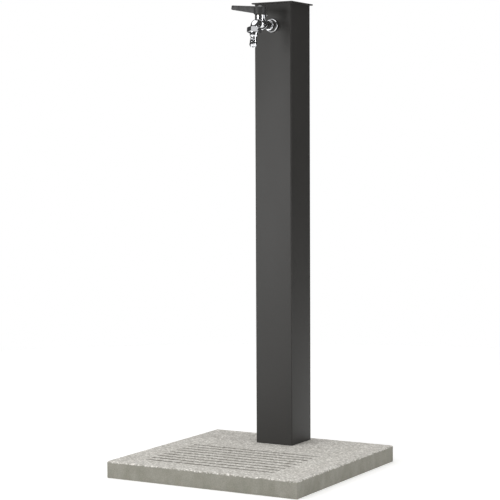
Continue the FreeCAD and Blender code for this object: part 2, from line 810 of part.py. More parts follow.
def stem_o_rings():
    """Two sealing rings in the stem's grooves."""
    outer = stem_diameter / 2
    section = stem_o_ring_section - 0.2
    return Part.makeCompound([o_ring(outer - section / 2, section, ball_centre, UP, height)
                              for height in stem_o_ring_heights])


def packing_ring():
    """Plastic packing under the gland nut."""
    return ring(gland_diameter / 2, stem_diameter / 2 + stem_clearance, ball_centre, UP,
                packing_bottom, gland_bottom)


def gland_nut():
    """Threaded ring in the boss, with a slot for a key."""
    nut = ring(gland_diameter / 2, stem_diameter / 2 + stem_clearance, ball_centre, UP,
               gland_bottom, boss_top + 0.4)
    slot = block(-gland_diameter, gland_diameter, -1.0, 1.0, boss_top - 1.2, boss_top + 1)
    slot.translate(ball_centre)
    return nut.cut(slot)


def lever_section(distance, width, height):
    """Rounded rectangular outline across the lever, at a distance from the stem's axis."""
    half_w, half_h = width / 2, height / 2
    solid = block(-distance - 1, -distance, -half_w, half_w, -half_h, half_h)
    along = [e for e in solid.Edges if abs(e.Vertexes[0].X - e.Vertexes[1].X) > 0.5]
    solid = solid.makeFillet(min(lever_corner_radius, half_h - 0.5), along)
    face = min(solid.Faces, key=lambda f: f.CenterOfMass.x)
    return face.OuterWire.translated(V(1, 0, 0))


def lever_handle():
    """Hub with a drive socket and stop groove, and a tapered arm that rises away from it."""
    hub = rod(hub_diameter / 2, V(0, 0, 0), UP, hub_bottom, hub_top)
    arm = Part.makeLoft([lever_section(lever_root, lever_root_width, lever_root_height),
                         lever_section(lever_length, lever_tip_width, lever_tip_height)], True)
    arm.rotate(V(0, 0, 0), V(0, 1, 0), lever_rise)
    arm.translate(V(0, 0, lever_axis_height))
    handle = fused([hub, arm])
    half = drive_square / 2
    cuts = [block(-half, half, -half, half, hub_bottom - 1, drive_top + drive_gap),
            rod(stem_diameter / 2 + drive_skirt_clearance, V(0, 0, 0), UP, hub_bottom - 1,
                drive_bottom + drive_gap),
            rod(lever_screw / 2 + screw_hole_clearance, V(0, 0, 0), UP, drive_top,
                screw_seat_height + 1),
            rod(screw_head_diameter / 2 + screw_head_clearance, V(0, 0, 0), UP, screw_seat_height,
                hub_top + 10)]
    cuts += stop_groove()
    handle = handle.cut(cuts)
    handle.translate(ball_centre)
    return handle


def stop_groove():
    """Arc-shaped groove under the hub, long enough for the pin's quarter turn."""
    low, high = hub_bottom - 1, stop_pin_top + stop_clearance
    half = stop_pin_diameter / 2 + stop_clearance
    near, far = stop_pin_radius - half, stop_pin_radius + half
    section = Part.makePolygon([V(near, 0, low), V(far, 0, low), V(far, 0, high), V(near, 0, high),
                                V(near, 0, low)])
    sweep = Part.Face(section).revolve(V(0, 0, 0), UP, lever_travel)
    sweep.rotate(V(0, 0, 0), UP, stop_angle - lever_travel)
    cuts = [sweep]
    for angle in (stop_angle, stop_angle - lever_travel):
        place = V(stop_pin_radius * math.cos(math.radians(angle)),
                  stop_pin_radius * math.sin(math.radians(angle)), 0)
        cuts.append(rod(half, place, UP, low, high))
    return cuts


def handle_screw():
    """Pan-head screw that holds the lever on its stem."""
    shank = lever_screw / 2
    head = screw_head_diameter / 2
    top = screw_seat_height + screw_head_height
    bottom = drive_top - handle_screw_depth
    screw = turned([(0, bottom), (shank, bottom), (shank, screw_seat_height), (head, screw_seat_height),
                    (head, top - 1.2), ((head - 0.5, top - 0.4), (head - 1.5, top)), (0, top)],
                   ball_centre, UP)
    reach, half, floor = 2.2, 0.5, top - 1.4
    cross = [block(-reach, reach, -half, half, floor, top + 1),
             block(-half, half, -reach, reach, floor, top + 1)]
    for cut in cross:
        cut.translate(ball_centre)
    return screw.cut(cross)


def lever_cap():
    """Domed cover over the handle's screw."""
    flange = lever_cap_diameter / 2
    plug = screw_head_diameter / 2 + screw_head_clearance
    rim = hub_top + lever_cap_rim
    crown = hub_top + lever_cap_height
    return turned([(0, hub_top - lever_cap_plug), (plug, hub_top - lever_cap_plug), (plug, hub_top),
                   (flange, hub_top), (flange, rim), (dome_middle(flange, rim, crown), (0, crown))],
                  ball_centre, UP)


# ---------------------------------------------------------------- hose connector
def collar_top():
    """Where the nipple's collar starts along the outlet axis."""
    return outlet_end + washer_thickness


def sealing_washer():
    """Flat rubber washer between the outlet and the nipple."""
    return ring(washer_diameter / 2, washer_bore / 2, outlet_origin, outlet_axis,
                outlet_end, collar_top())


def union_nut():
    """Hexagonal nut that pulls the nipple's collar up to the outlet."""
    body = hexagon(nut_flats, outlet_origin, outlet_axis, nut_top, nut_bottom, nut_chamfer, 30.0)
    lip_start = nut_bottom - nut_lip
    thread = outlet_thread / 2 + nut_thread_clearance
    opening = nipple_diameter / 2 + nut_lip_clearance
    cuts = [rod(thread, outlet_origin, outlet_axis, nut_top - 1, lip_start),
            rod(opening, outlet_origin, outlet_axis, 0, nut_bottom + 1)]
    return body.cut(cuts)


def hose_nipple():
    """Quick-connect nipple: collar, shoulder, ribbed waist, land, seal groove and tip ring."""
    bore = nipple_bore / 2
    collar = washer_diameter / 2
    body = nipple_diameter / 2
    waist = nipple_waist_diameter / 2
    rib = nipple_rib_diameter / 2
    land = nipple_land_diameter / 2
    groove = nipple_groove_diameter / 2
    tip = nipple_tip_ring_diameter / 2
    lip = nut_bottom - nut_lip - collar_gap
    rib_end = nipple_rib_start + nipple_rib_width
    middle = (nipple_shoulder_end + nipple_waist_start) / 2
    return turned([(bore, collar_top()), (collar, collar_top()), (collar, lip), (body, lip),
                   (body, nipple_shoulder_end), ((waist + 0.7, middle + 0.7), (waist, nipple_waist_start)),
                   (waist, nipple_rib_start), (rib, nipple_rib_start), (rib, rib_end), (waist, rib_end),
                   (waist, nipple_waist_end), (land, nipple_land_start), (land, nipple_groove_start),
                   (groove, nipple_groove_start), (groove, nipple_groove_end), (tip, nipple_groove_end),
                   (tip, nipple_tip_ring_end), (nipple_end_diameter / 2, nipple_end), (bore, nipple_end)],
                  outlet_origin, outlet_axis)


def nipple_o_ring():
    """Sealing ring in the nipple's groove."""
    section = nipple_groove_end - nipple_groove_start
    middle = (nipple_groove_start + nipple_groove_end) / 2
    return o_ring(nipple_groove_diameter / 2 + section / 2, section, outlet_origin, outlet_axis, middle)


NODES = {
    "base_slab": base_slab,
    "anchor_sleeves": anchor_sleeves,
    "anchor_washers": anchor_washers,
    "anchor_bolts": anchor_bolts,
    "foot_bracket": foot_bracket,
    "foot_nuts": foot_nuts,
    "column_tube": column_tube,
    "column_screws": column_screws,
    "top_cap": top_cap,
    "cap_insert": cap_insert,
    "cap_screws": cap_screws,
    "tap_bracket": tap_bracket,
    "bracket_nuts": bracket_nuts,
    "bracket_screws": bracket_screws,
    "wall_elbow": wall_elbow,
    "elbow_screws": elbow_screws,
    "riser_pipe": riser_pipe,
    "feed_coupling": feed_coupling,
    "pipe_grommet": pipe_grommet,
    "rosette_gasket": rosette_gasket,
    "rosette": rosette,
    "inlet_tail": inlet_tail,
    "valve_body": valve_body,
    "inner_seat": lambda: seat_ring(-1),
    "outer_seat": lambda: seat_ring(1),
    "valve_ball": valve_ball,
    "valve_stem": valve_stem,
    "stem_o_rings": stem_o_rings,
    "packing_ring": packing_ring,
    "gland_nut": gland_nut,
    "lever_handle": lever_handle,
    "handle_screw": handle_screw,
    "lever_cap": lever_cap,
    "sealing_washer": sealing_washer,
    "union_nut": union_nut,
    "hose_nipple": hose_nipple,
    "nipple_o_ring": nipple_o_ring,
}


def main():
    """Write one STEP file for each node."""
    os.makedirs("parts", exist_ok=True)
    for name, build in NODES.items():
        shape = build()
        if not shape.isValid():
            print("not valid:", name)
        shape.exportStep("parts/" + name + ".step")
        print(f"{name}: {len(shape.Solids)} solid(s), {shape.Volume:.0f} mm3")


main()
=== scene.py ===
"""Looks of a garden tap column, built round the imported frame.

Lengths are millimetres until a mesh is finished, when it is scaled to metres in the frame's own
place. Each sub-assembly is a class whose fields are its sizes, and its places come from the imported
nodes and joints.
"""

import json
import logging
import math
from dataclasses import dataclass, field
from enum import Enum
from typing import Any, Iterable, Sequence

import bmesh
import bpy
from mathutils import Matrix, Vector, noise

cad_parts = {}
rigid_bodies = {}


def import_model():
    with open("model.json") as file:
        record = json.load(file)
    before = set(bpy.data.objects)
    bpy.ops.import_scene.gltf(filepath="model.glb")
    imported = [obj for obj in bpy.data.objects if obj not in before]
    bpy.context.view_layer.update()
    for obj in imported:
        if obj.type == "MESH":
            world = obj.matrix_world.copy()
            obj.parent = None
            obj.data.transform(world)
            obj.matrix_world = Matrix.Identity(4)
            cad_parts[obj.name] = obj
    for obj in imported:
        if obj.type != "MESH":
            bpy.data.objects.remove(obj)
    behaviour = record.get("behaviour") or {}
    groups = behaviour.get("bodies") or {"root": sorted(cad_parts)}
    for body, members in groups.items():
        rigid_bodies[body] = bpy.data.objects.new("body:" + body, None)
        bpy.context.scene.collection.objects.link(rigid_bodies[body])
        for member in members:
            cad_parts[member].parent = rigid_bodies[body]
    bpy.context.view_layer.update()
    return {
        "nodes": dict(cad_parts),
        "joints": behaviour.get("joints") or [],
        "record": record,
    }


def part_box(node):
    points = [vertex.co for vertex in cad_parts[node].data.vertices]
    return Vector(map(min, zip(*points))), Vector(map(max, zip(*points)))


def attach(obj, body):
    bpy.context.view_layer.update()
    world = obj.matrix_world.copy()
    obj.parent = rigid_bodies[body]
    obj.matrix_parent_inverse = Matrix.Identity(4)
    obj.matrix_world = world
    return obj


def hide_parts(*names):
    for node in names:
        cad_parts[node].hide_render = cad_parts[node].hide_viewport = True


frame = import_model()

LOG = logging.getLogger("tap_column")
MM = 0.001
UP = Vector((0, 0, 1))
RIGHT = Vector((1, 0, 0))
OUT = Vector((0, -1, 0))
BACK = Vector((0, 1, 0))
Mesh = bmesh.types.BMesh
Node = bpy.types.Node
Point = tuple[float, float]
Socket = bpy.types.NodeSocket
Tree = bpy.types.NodeTree
MADE: dict[str, bpy.types.Material] = {}


# ---------------------------------------------------------------- finishes
def linear(code: str) -> tuple[float, float, float, float]:
    """Turns an sRGB hex colour into linear light.

    Args:
        code: Six hex digits, with or without a leading hash.

    Returns:
        Red, green, blue and an alpha of one.
    """
    digits = code.lstrip("#")
    channels = []
    for start in (0, 2, 4):
        value = int(digits[start:start + 2], 16) / 255
        channels.append(value / 12.92 if value <= 0.04045 else ((value + 0.055) / 1.055) ** 2.4)
    return (channels[0], channels[1], channels[2], 1.0)


def per_feature(size: float) -> float:
    """Texture scale whose features are about that many millimetres across."""
    return 1 / (size * MM)


def add_node(tree: Tree, kind: str, inputs: dict[Any, Any] | None = None, **settings: Any) -> Node:
    """Adds a node with its settings and links.

    Args:
        tree: The tree that the node goes in.
        kind: The node's type name.
        inputs: Input name or index to a value, or to an output socket that is linked to it.
        **settings: Attributes of the node, set before its inputs.

    Returns:
        The new node.
    """
    node = tree.nodes.new(kind)
    for name, value in settings.items():
        setattr(node, name, value)
    for key, value in (inputs or {}).items():
        socket = node.inputs[key]
        if isinstance(value, Socket):
            tree.links.new(value, socket)
        else:
            socket.default_value = value
    return node


def combine(tree: Tree, operation: str, *values: Any) -> Socket:
    """Does arithmetic on numbers or sockets.

    Args:
        tree: The material's tree.
        operation: The Math node's operation.
        *values: What it works on, in the node's order.

    Returns:
        The result's socket.
    """
    operands = dict(enumerate(values))
    return add_node(tree, "ShaderNodeMath", operands, operation=operation).outputs["Value"]


def blend(tree: Tree, factor: Any, first: Any, second: Any) -> Socket:
    """Mixes two colours.

    Args:
        tree: The material's tree.
        factor: Share of the second colour, a value or a socket.
        first: The first colour.
        second: The second colour.

    Returns:
        The mixed colour's socket.
    """
    inputs = {0: factor, 6: first, 7: second}
    return add_node(tree, "ShaderNodeMix", inputs, data_type="RGBA").outputs[2]


def ramp(tree: Tree, factor: Socket, stops: Sequence[tuple[float, str]]) -> Socket:
    """Colour ramp between sRGB hex stops.

    Args:
        tree: The material's tree.
        factor: What drives the ramp.
        stops: Position and hex colour of each stop, in order.

    Returns:
        The ramp's colour output.
    """
    node = add_node(tree, "ShaderNodeValToRGB", {"Fac": factor})
    elements = node.color_ramp.elements
    while len(elements) < len(stops):
        elements.new(0.5)
    for element, (position, code) in zip(elements, stops):
        element.position = position
        element.color = linear(code)
    return node.outputs["Color"]


def fit(tree: Tree, value: Socket, low: float, high: float, to_low: float,
        to_high: float) -> Socket:
    """Maps a value from one range to another, clamped.

    Args:
        tree: The material's tree.
        value: The socket to map.
        low: Start of the range read.
        high: End of the range read.
        to_low: What low becomes.
        to_high: What high becomes.

    Returns:
        The mapped value's socket.
    """
    inputs = {"Value": value, "From Min": low, "From Max": high, "To Min": to_low,
              "To Max": to_high}
    return add_node(tree, "ShaderNodeMapRange", inputs).outputs["Result"]


@dataclass(frozen=True)
class Finish:
    """A surface finish: what it is made of and how it was made.

    Attributes:
        name: The material's common name.
        slot: The record's material slot that it belongs to.
        colour: Its main colour, as sRGB hex.
        roughness: Its middle roughness.
        metallic: One for bare metal and plating.
        ior: Left at the shader's own value on metals.
    """

    name: str
    slot: str
    colour: str
    roughness: float
    metallic: float = 0.0
    ior: float = 1.5

    def material(self) -> bpy.types.Material:
        """Builds the material the first time it is asked for.

        Returns:
            The material.
        """
        if self.name in MADE:
            return MADE[self.name]
        material = bpy.data.materials.new(self.name)
        MADE[self.name] = material
        material.use_nodes = True
        tree = material.node_tree
        tree.nodes.clear()
        shader = add_node(tree, "ShaderNodeBsdfPrincipled",
                          {"Base Color": linear(self.colour), "Roughness": self.roughness,
                           "Metallic": self.metallic, "IOR": self.ior})
        add_node(tree, "ShaderNodeOutputMaterial", {"Surface": shader.outputs["BSDF"]})
        material.diffuse_color = linear(self.colour)
        self.dress(tree, shader)
        return material

    def dress(self, tree: Tree, shader: Node) -> None:
        """Adds the finish's own pattern. The plain finish has none.

        Args:
            tree: The material's tree.
            shader: Its Principled shader.
        """

    def coordinates(self, tree: Tree, stretch: tuple[float, float, float] = (1, 1, 1)) -> Socket:
        """Object coordinates, stretched along the axes.

        Args:
            tree: The material's tree.
            stretch: Factors along X, Y and Z.

        Returns:
            The mapped coordinates' socket.
        """
        source = add_node(tree, "ShaderNodeTexCoord").outputs["Object"]
        inputs = {"Vector": source, "Scale": stretch}
        return add_node(tree, "ShaderNodeMapping", inputs).outputs["Vector"]

    def grain(self, tree: Tree, size: float, detail: float = 3.0,
              stretch: tuple[float, float, float] = (1, 1, 1)) -> Socket:
        """Noise with features of a real size.

        Args:
            tree: The material's tree.
            size: Feature size in millimetres.
            detail: Octaves of finer noise.
            stretch: Factors along X, Y and Z.

        Returns:
            The noise's socket, from zero to one.
        """
        inputs = {"Vector": self.coordinates(tree, stretch), "Scale": per_feature(size),
                  "Detail": detail, "Roughness": 0.55}
        return add_node(tree, "ShaderNodeTexNoise", inputs).outputs["Fac"]

    def paint(self, tree: Tree, shader: Node, colour: Socket) -> None:
        """Gives the shader its colour."""
        tree.links.new(colour, shader.inputs["Base Color"])

    def gloss(self, tree: Tree, shader: Node, driver: Socket, less: float, more: float,
              span: Point = (0.3, 0.7)) -> None:
        """Varies the shader's roughness about the finish's middle value.

        Args:
            tree: The material's tree.
            shader: Its Principled shader.
            driver: What the roughness follows.
            less: Added to the middle roughness at the span's start.
            more: Added to it at the span's end.
            span: The range of the driver that is used.
        """
        varied = fit(tree, driver, *span, self.roughness + less, self.roughness + more)
        tree.links.new(varied, shader.inputs["Roughness"])

    def bump(self, tree: Tree, shader: Node, layers: Iterable[tuple[Socket, float]]) -> None:
        """Stacks height layers on the shader's normal.

        Args:
            tree: The material's tree.
            shader: The Principled shader.
            layers: Each layer's height socket and its depth in millimetres.
        """
        normal = None
        for height, depth in layers:
            inputs: dict[str, Any] = {"Height": height, "Distance": depth * MM, "Strength": 1.0}
            if normal:
                inputs["Normal"] = normal
            normal = add_node(tree, "ShaderNodeBump", inputs).outputs["Normal"]
        tree.links.new(normal, shader.inputs["Normal"])


@dataclass(frozen=True)
class CastConcrete(Finish):
    """Cast concrete: a washed top that shows its fine gravel, and smoother mould sides whose darker
    colour is partly their own and partly painted shade.

    Attributes:
        sand: Size of the sand in the mortar.
        mottle: Size of the patches that cured lighter or darker.
        gravel: Size of the gravel's grains.
        stain: Size of the stains on the sides.
        arris: Height at which the washed top begins.
        arris_fade: Height over which it takes over from the sides.
        arris_wander: How far the grains make that line wander.
        groove_reach: Half-width of the square that all the grooves lie in.
        groove_lip: Height below which a face inside that square gets painted shade.
        depths: Bump depths of the mottle, the sand and the gravel.
    """

    sand: float = 1.8
    mottle: float = 60.0
    gravel: float = 4.6
    stain: float = 26.0
    arris: float = 37.2
    arris_fade: float = 2.0
    arris_wander: float = 2.5
    groove_reach: float = 238.0
    groove_lip: float = 39.0
    depths: tuple[float, float, float] = (0.8, 0.35, 1.1)

    def dress(self, tree: Tree, shader: Node) -> None:
        """Mixes gravel and mortar on top with stained mortar on the sides, darkened partly by
        painted shade, and paints shade into the grooves.

        Args:
            tree: The material's tree.
            shader: Its Principled shader.
        """
        mottle = self.grain(tree, self.mottle, 4.0)
        sand = self.grain(tree, self.sand, 4.0)
        grains = add_node(tree, "ShaderNodeTexVoronoi",
                          {"Vector": self.warped(tree), "Scale": per_feature(self.gravel)})
        colour, distance = grains.outputs["Color"], grains.outputs["Distance"]
        shade = add_node(tree, "ShaderNodeSeparateColor", {0: colour}).outputs["Red"]
        stones = ramp(tree, shade, [(0.05, "#9b978f"), (0.30, "#c8c5bf"), (0.62, "#dedbd5"),
                                    (0.95, "#fdfaf4")])
        gaps = fit(tree, distance, 0.38, 0.62, 0.0, 0.75)
        mortar = ramp(tree, sand, [(0.30, "#8d8a82"), (0.70, "#c6c2ba")])
        cured = ramp(tree, mottle, [(0.35, "#c9c5be"), (0.70, "#dedbd5")])
        top = blend(tree, 0.25, blend(tree, gaps, stones, mortar), cured)
        # The sides' darker colours are partly the mould face's own tone and stains, and partly
        # painted shade for the light that the sides miss.
        stain = self.grain(tree, self.stain, 5.0, (1.0, 1.0, 0.55))
        stain_and_shade = ramp(tree, stain, [(0.34, "#818075"), (0.52, "#8d8b81"), (0.70, "#98968c")])
        gritty = ramp(tree, sand, [(0.32, "#6b6961"), (0.68, "#acaaa0")])
        sides = blend(tree, 0.30, stain_and_shade, gritty)
        place = add_node(tree, "ShaderNodeTexCoord").outputs["Object"]
        rise = add_node(tree, "ShaderNodeSeparateXYZ", {0: place}).outputs["Z"]
        edge = combine(tree, "MULTIPLY_ADD", shade, self.arris_wander * MM, rise)
        on_top = fit(tree, edge, self.arris * MM, (self.arris + self.arris_fade) * MM, 0.0, 1.0)
        body = blend(tree, on_top, sides, top)
        # Painted shade: the grooves' walls and floors are darkened towards #66625a, deeper than the
        # lighting makes them.
        painted_groove_shade = self.painted_groove_shade(tree, place, rise)
        self.paint(tree, shader, blend(tree, painted_groove_shade, body, linear("#66625a")))
        self.gloss(tree, shader, sand, -0.06, 0.05)
        proud = fit(tree, distance, 0.1, 0.7, 1.0, 0.0)
        shown = combine(tree, "MULTIPLY", proud, on_top)
        self.bump(tree, shader, zip((mottle, sand, shown), self.depths))

    def painted_groove_shade(self, tree: Tree, place: Socket, rise: Socket) -> Socket:
        """Mask of the grooves' walls and floors, where shade is painted into the concrete.

        Args:
            tree: The material's tree.
            place: Object coordinates.
            rise: Their Z.

        Returns:
            A socket that is near one below the top and inside the outer sides, and zero elsewhere.
        """
        away = add_node(tree, "ShaderNodeVectorMath", {0: place}, operation="ABSOLUTE")
        parts = add_node(tree, "ShaderNodeSeparateXYZ", {0: away.outputs["Vector"]})
        widest = combine(tree, "MAXIMUM", parts.outputs["X"], parts.outputs["Y"])
        reach, lip = self.groove_reach, self.groove_lip
        inner = fit(tree, widest, reach * MM, (reach + 4.0) * MM, 0.9, 0.0)
        sunk = fit(tree, rise, lip * MM, (lip + 0.5) * MM, 1.0, 0.0)
        return combine(tree, "MULTIPLY", inner, sunk)

    def warped(self, tree: Tree) -> Socket:
        """Coordinates bent by a little noise, so that grains aren't all alike.

        Args:
            tree: The material's tree.

        Returns:
            The bent coordinates' socket.
        """
        source = self.coordinates(tree)
        swirl = add_node(tree, "ShaderNodeTexNoise",
                         {"Vector": source, "Scale": per_feature(self.gravel * 1.6), "Detail": 1.0})
        pushed = {0: swirl.outputs["Color"], 1: (0.45 * self.gravel * MM,) * 3, 2: source}
        bent = add_node(tree, "ShaderNodeVectorMath", pushed, operation="MULTIPLY_ADD")
        return bent.outputs["Vector"]


@dataclass(frozen=True)
class PowderCoat(Finish):
    """Anthracite powder coat baked on aluminium: an even satin film with a faint orange peel.

    Attributes:
        peel: Size of the orange peel.
        drift: Size of the slow changes of tone and gloss.
    """

    peel: float = 1.6
    drift: float = 160.0

    def dress(self, tree: Tree, shader: Node) -> None:
        """Adds the film's orange peel and a slow drift of tone and gloss along the profile.

        Args:
            tree: The material's tree.
            shader: Its Principled shader.
        """
        drift = self.grain(tree, self.drift, 2.0, (1.0, 1.0, 0.35))
        peel = self.grain(tree, self.peel, 2.0)
        tone = ramp(tree, drift, [(0.3, self.colour), (0.7, "#373634")])
        fleck = ramp(tree, peel, [(0.35, "#2f2e2d"), (0.65, "#3a3937")])
        self.paint(tree, shader, blend(tree, 0.35, tone, fleck))
        self.gloss(tree, shader, drift, -0.03, 0.04)
        self.bump(tree, shader, [(peel, 0.018)])


@dataclass(frozen=True)
class ChromePlate(Finish):
    """Bright chrome over polished brass: mirror-like, with faint polishing haze and water marks.

    Attributes:
        haze: Size of the hazy patches.
        line: Spacing of the polishing lines.
    """

    haze: float = 6.0
    line: float = 0.5

    def dress(self, tree: Tree, shader: Node) -> None:
        """Dulls the gloss a little in patches, as on handled plating, and along polishing lines.

        Args:
            tree: The material's tree.
            shader: Its Principled shader.
        """
        haze = self.grain(tree, self.haze, 3.0)
        lines = self.grain(tree, self.line, 2.0, (1.0, 1.0, 0.08))
        self.gloss(tree, shader, combine(tree, "MULTIPLY", haze, lines), 0.0, 0.07, (0.15, 0.40))
        self.bump(tree, shader, [(haze, 0.010)])


@dataclass(frozen=True)
class MouldedPlastic(Finish):
    """A plastic moulding: spark-eroded texture, slightly polished where it is held.

    Attributes:
        spark: Size of the mould's texture.
        wander: Size of the patches that handling has polished.
        handled: Colour of those patches, as sRGB hex.
    """

    spark: float = 0.9
    wander: float = 18.0
    handled: str = "#4e4e4e"

    def dress(self, tree: Tree, shader: Node) -> None:
        """Adds the mould's spark texture and a wandering tone.

        Args:
            tree: The material's tree.
            shader: Its Principled shader.
        """
        spark = self.grain(tree, self.spark, 2.0)
        wander = self.grain(tree, self.wander, 3.0)
        self.paint(tree, shader, ramp(tree, wander, [(0.35, self.colour), (0.75, self.handled)]))
        self.gloss(tree, shader, wander, 0.05, -0.06)
        self.bump(tree, shader, [(spark, 0.05)])


@dataclass(frozen=True)
class DrawnMetal(Finish):
    """Turned, rolled or plated bare metal: fine lines along the work, and duller patches.

    Attributes:
        dull: Colour of the zinc or oxide patches, as sRGB hex.
        patch: Size of those patches.
        line: Spacing of the drawing lines.
    """

    dull: str = "#8d9092"
    patch: float = 7.0
    line: float = 0.7

    def dress(self, tree: Tree, shader: Node) -> None:
        """Adds drawing lines and duller patches.

        Args:
            tree: The material's tree.
            shader: Its Principled shader.
        """
        patch = self.grain(tree, self.patch, 4.0)
        line = self.grain(tree, self.line, 2.0, (1.0, 1.0, 0.1))
        self.paint(tree, shader, ramp(tree, patch, [(0.35, self.colour), (0.72, self.dull)]))
        self.gloss(tree, shader, line, -0.07, 0.10)
        self.bump(tree, shader, [(line, 0.02)])


@dataclass(frozen=True)
class SealRubber(Finish):
    """Moulded EPDM or PTFE for seals: soft, slightly dusty and matt.

    Attributes:
        dust: Colour of the dust, as sRGB hex.
        bloom: Size of the dusty patches.
    """

    dust: str = "#3a3a39"
    bloom: float = 3.0

    def dress(self, tree: Tree, shader: Node) -> None:
        """Adds a faint bloom of dust.

        Args:
            tree: The material's tree.
            shader: Its Principled shader.
        """
        bloom = self.grain(tree, self.bloom, 4.0)
        self.paint(tree, shader, ramp(tree, bloom, [(0.45, self.colour), (0.85, self.dust)]))
        self.bump(tree, shader, [(bloom, 0.03)])


class Surface(Enum):
    """Every finish on the object, each with what it gives the eye."""

    # Pale, rough and matt: the ground that the dark column stands out from.
    CONCRETE = CastConcrete("cast_concrete", "concrete", "#c0bdb7", 0.88)
    # Near-black satin, even enough to read as one extrusion, with a soft sheen towards the light.
    POWDER_COAT = PowderCoat("anthracite_powder_coat", "powder_coated_aluminium", "#343331", 0.45,
                             ior=1.42)
    # The only mirror on the object: hard black and white reflections that draw the eye to the tap.
    CHROME = ChromePlate("polished_chrome", "chrome_plate", "#e4e5e8", 0.05, 1.0)
    # Dark and dull beside the chrome, a little paler where hands polish it.
    LEVER = MouldedPlastic("glass_filled_nylon", "lever_plastic", "#323232", 0.46,
                           handled="#474747")
    # A mid-grey dome that marks where the lever turns.
    LEVER_CAP = MouldedPlastic("grey_moulded_plastic", "cap_plastic", "#8a8a8a", 0.38,
                               handled="#9a9a9a")
    # Plain black, as mouldings that nobody sees are.
    INSERT = MouldedPlastic("black_moulded_plastic", "insert_plastic", "#1c1c1c", 0.55,
                            handled="#262626")
    # Small bright heads on the column's dark back and cover.
    STAINLESS = DrawnMetal("satin_stainless_steel", "stainless_steel", "#c3c4c4", 0.28, 1.0,
                           dull="#a9abac")
    # Dull, patchy grey of plated steel inside the column.
    ZINC = DrawnMetal("zinc_plated_steel", "galvanised_steel", "#b4b7b9", 0.40, 1.0)
    # Warm yellow where the tap's inside isn't plated.
    BRASS = DrawnMetal("machined_brass", "brass", "#c9a35a", 0.30, 1.0, dull="#a8843f")
    # The black line of the nipple's seal between bright rings.
    RUBBER = SealRubber("epdm_rubber", "seal_rubber", "#1b1b1b", 0.70)
    # Off-white and waxy, on the seats round the ball.
    PTFE = SealRubber("ptfe", "seat_plastic", "#efefea", 0.45, dust="#dcdcd6")

    @property
    def slot(self) -> str:
        """The record's slot for this finish."""
        return self.value.slot

    def material(self) -> bpy.types.Material:
        """The finish's material."""
        return self.value.material()


# ---------------------------------------------------------------- mesh work
def arc_points(centre: Point, radius: float, start: float, end: float, steps: int) -> list[Point]:
    """Points on an arc.

    Args:
        centre: The arc's centre.
        radius: Its radius.
        start: Start angle in degrees.
        end: End angle in degrees.
        steps: How many equal steps it takes.

    Returns:
        The points from start to end.
    """
    angles = [math.radians(start + (end - start) * i / steps) for i in range(steps + 1)]
    return [(centre[0] + radius * math.cos(a), centre[1] + radius * math.sin(a)) for a in angles]


def bar_outline(radius: float, low: float, high: float) -> list[Point]:
    """Outline of a plain round bar, as (radius, height)."""
    return [(0, low), (radius, low), (radius, high), (0, high)]


def four_corners(half_x: float, half_y: float) -> list[Point]:
    """Corners of a rectangle round the origin."""
    return [(sx * half_x, sy * half_y) for sx in (-1, 1) for sy in (-1, 1)]


def eased(outline: Sequence[Point], radius: float, steps: int = 3) -> list[Point]:
    """Rounds the corners of a closed outline, leaving points on the turning axis alone.

    Args:
        outline: Corner points as (radius, height).
        radius: Rounding radius, limited by the shorter neighbouring side.
        steps: Segments in each rounding.

    Returns:
        The eased outline.
    """
    least_turn = math.radians(12)
    count = len(outline)
    result: list[Point] = []
    for i, here in enumerate(outline):
        before, after = Vector(outline[i - 1]), Vector(outline[(i + 1) % count])
        corner = Vector(here)
        to_before, to_after = before - corner, after - corner
        shortest = min(to_before.length, to_after.length)
        turn = math.pi - to_before.angle(to_after) if shortest > 1e-6 else 0.0
        if here[0] < 1e-6 or turn < least_turn:
            result.append(here)
            continue
        reach = min(radius * math.tan(turn / 2), shortest * 0.45)
        first = corner + to_before.normalized() * reach
        last = corner + to_after.normalized() * reach
        for k in range(steps + 1):
            t = k / steps
            point = first.lerp(corner, t).lerp(corner.lerp(last, t), t)
            result.append((point.x, point.y))
    return result


def lathe(outline: Sequence[Point], segments: int = 96) -> Mesh:
    """Turns a closed outline about Z.

    Args:
        outline: Points as (radius, height). Points on the axis become poles.
        segments: Steps round the axis.

    Returns:
        The closed mesh, facing outwards.
    """
    mesh = bmesh.new()
    rings = []
    for radius, height in outline:
        if radius < 1e-6:
            rings.append([mesh.verts.new((0, 0, height))])
            continue
        rings.append([mesh.verts.new((radius * math.cos(2 * math.pi * k / segments),
                                      radius * math.sin(2 * math.pi * k / segments), height))
                      for k in range(segments)])
    for here, after in zip(rings, rings[1:] + rings[:1]):
        if len(here) == 1 and len(after) == 1:
            continue
        for k in range(segments):
            n = (k + 1) % segments
            corners = [here[k % len(here)], here[n % len(here)],
                       after[n % len(after)], after[k % len(after)]]
            mesh.faces.new(list(dict.fromkeys(corners)))
    bmesh.ops.recalc_face_normals(mesh, faces=mesh.faces)
    return mesh


def prism(outline: Sequence[Point], low: float, high: float) -> Mesh:
    """Upright prism on a closed outline.

    Args:
        outline: Points as (x, y), in order.
        low: Height of the bottom.
        high: Height of the top.

    Returns:
        The closed mesh.
    """
    mesh = bmesh.new()
    bottom = [mesh.verts.new((x, y, low)) for x, y in outline]
    top = [mesh.verts.new((x, y, high)) for x, y in outline]
    mesh.faces.new(bottom)
    mesh.faces.new(top)
    for i in range(len(outline)):
        n = (i + 1) % len(outline)
        mesh.faces.new((bottom[i], bottom[n], top[n], top[i]))
    bmesh.ops.recalc_face_normals(mesh, faces=mesh.faces)
    return mesh


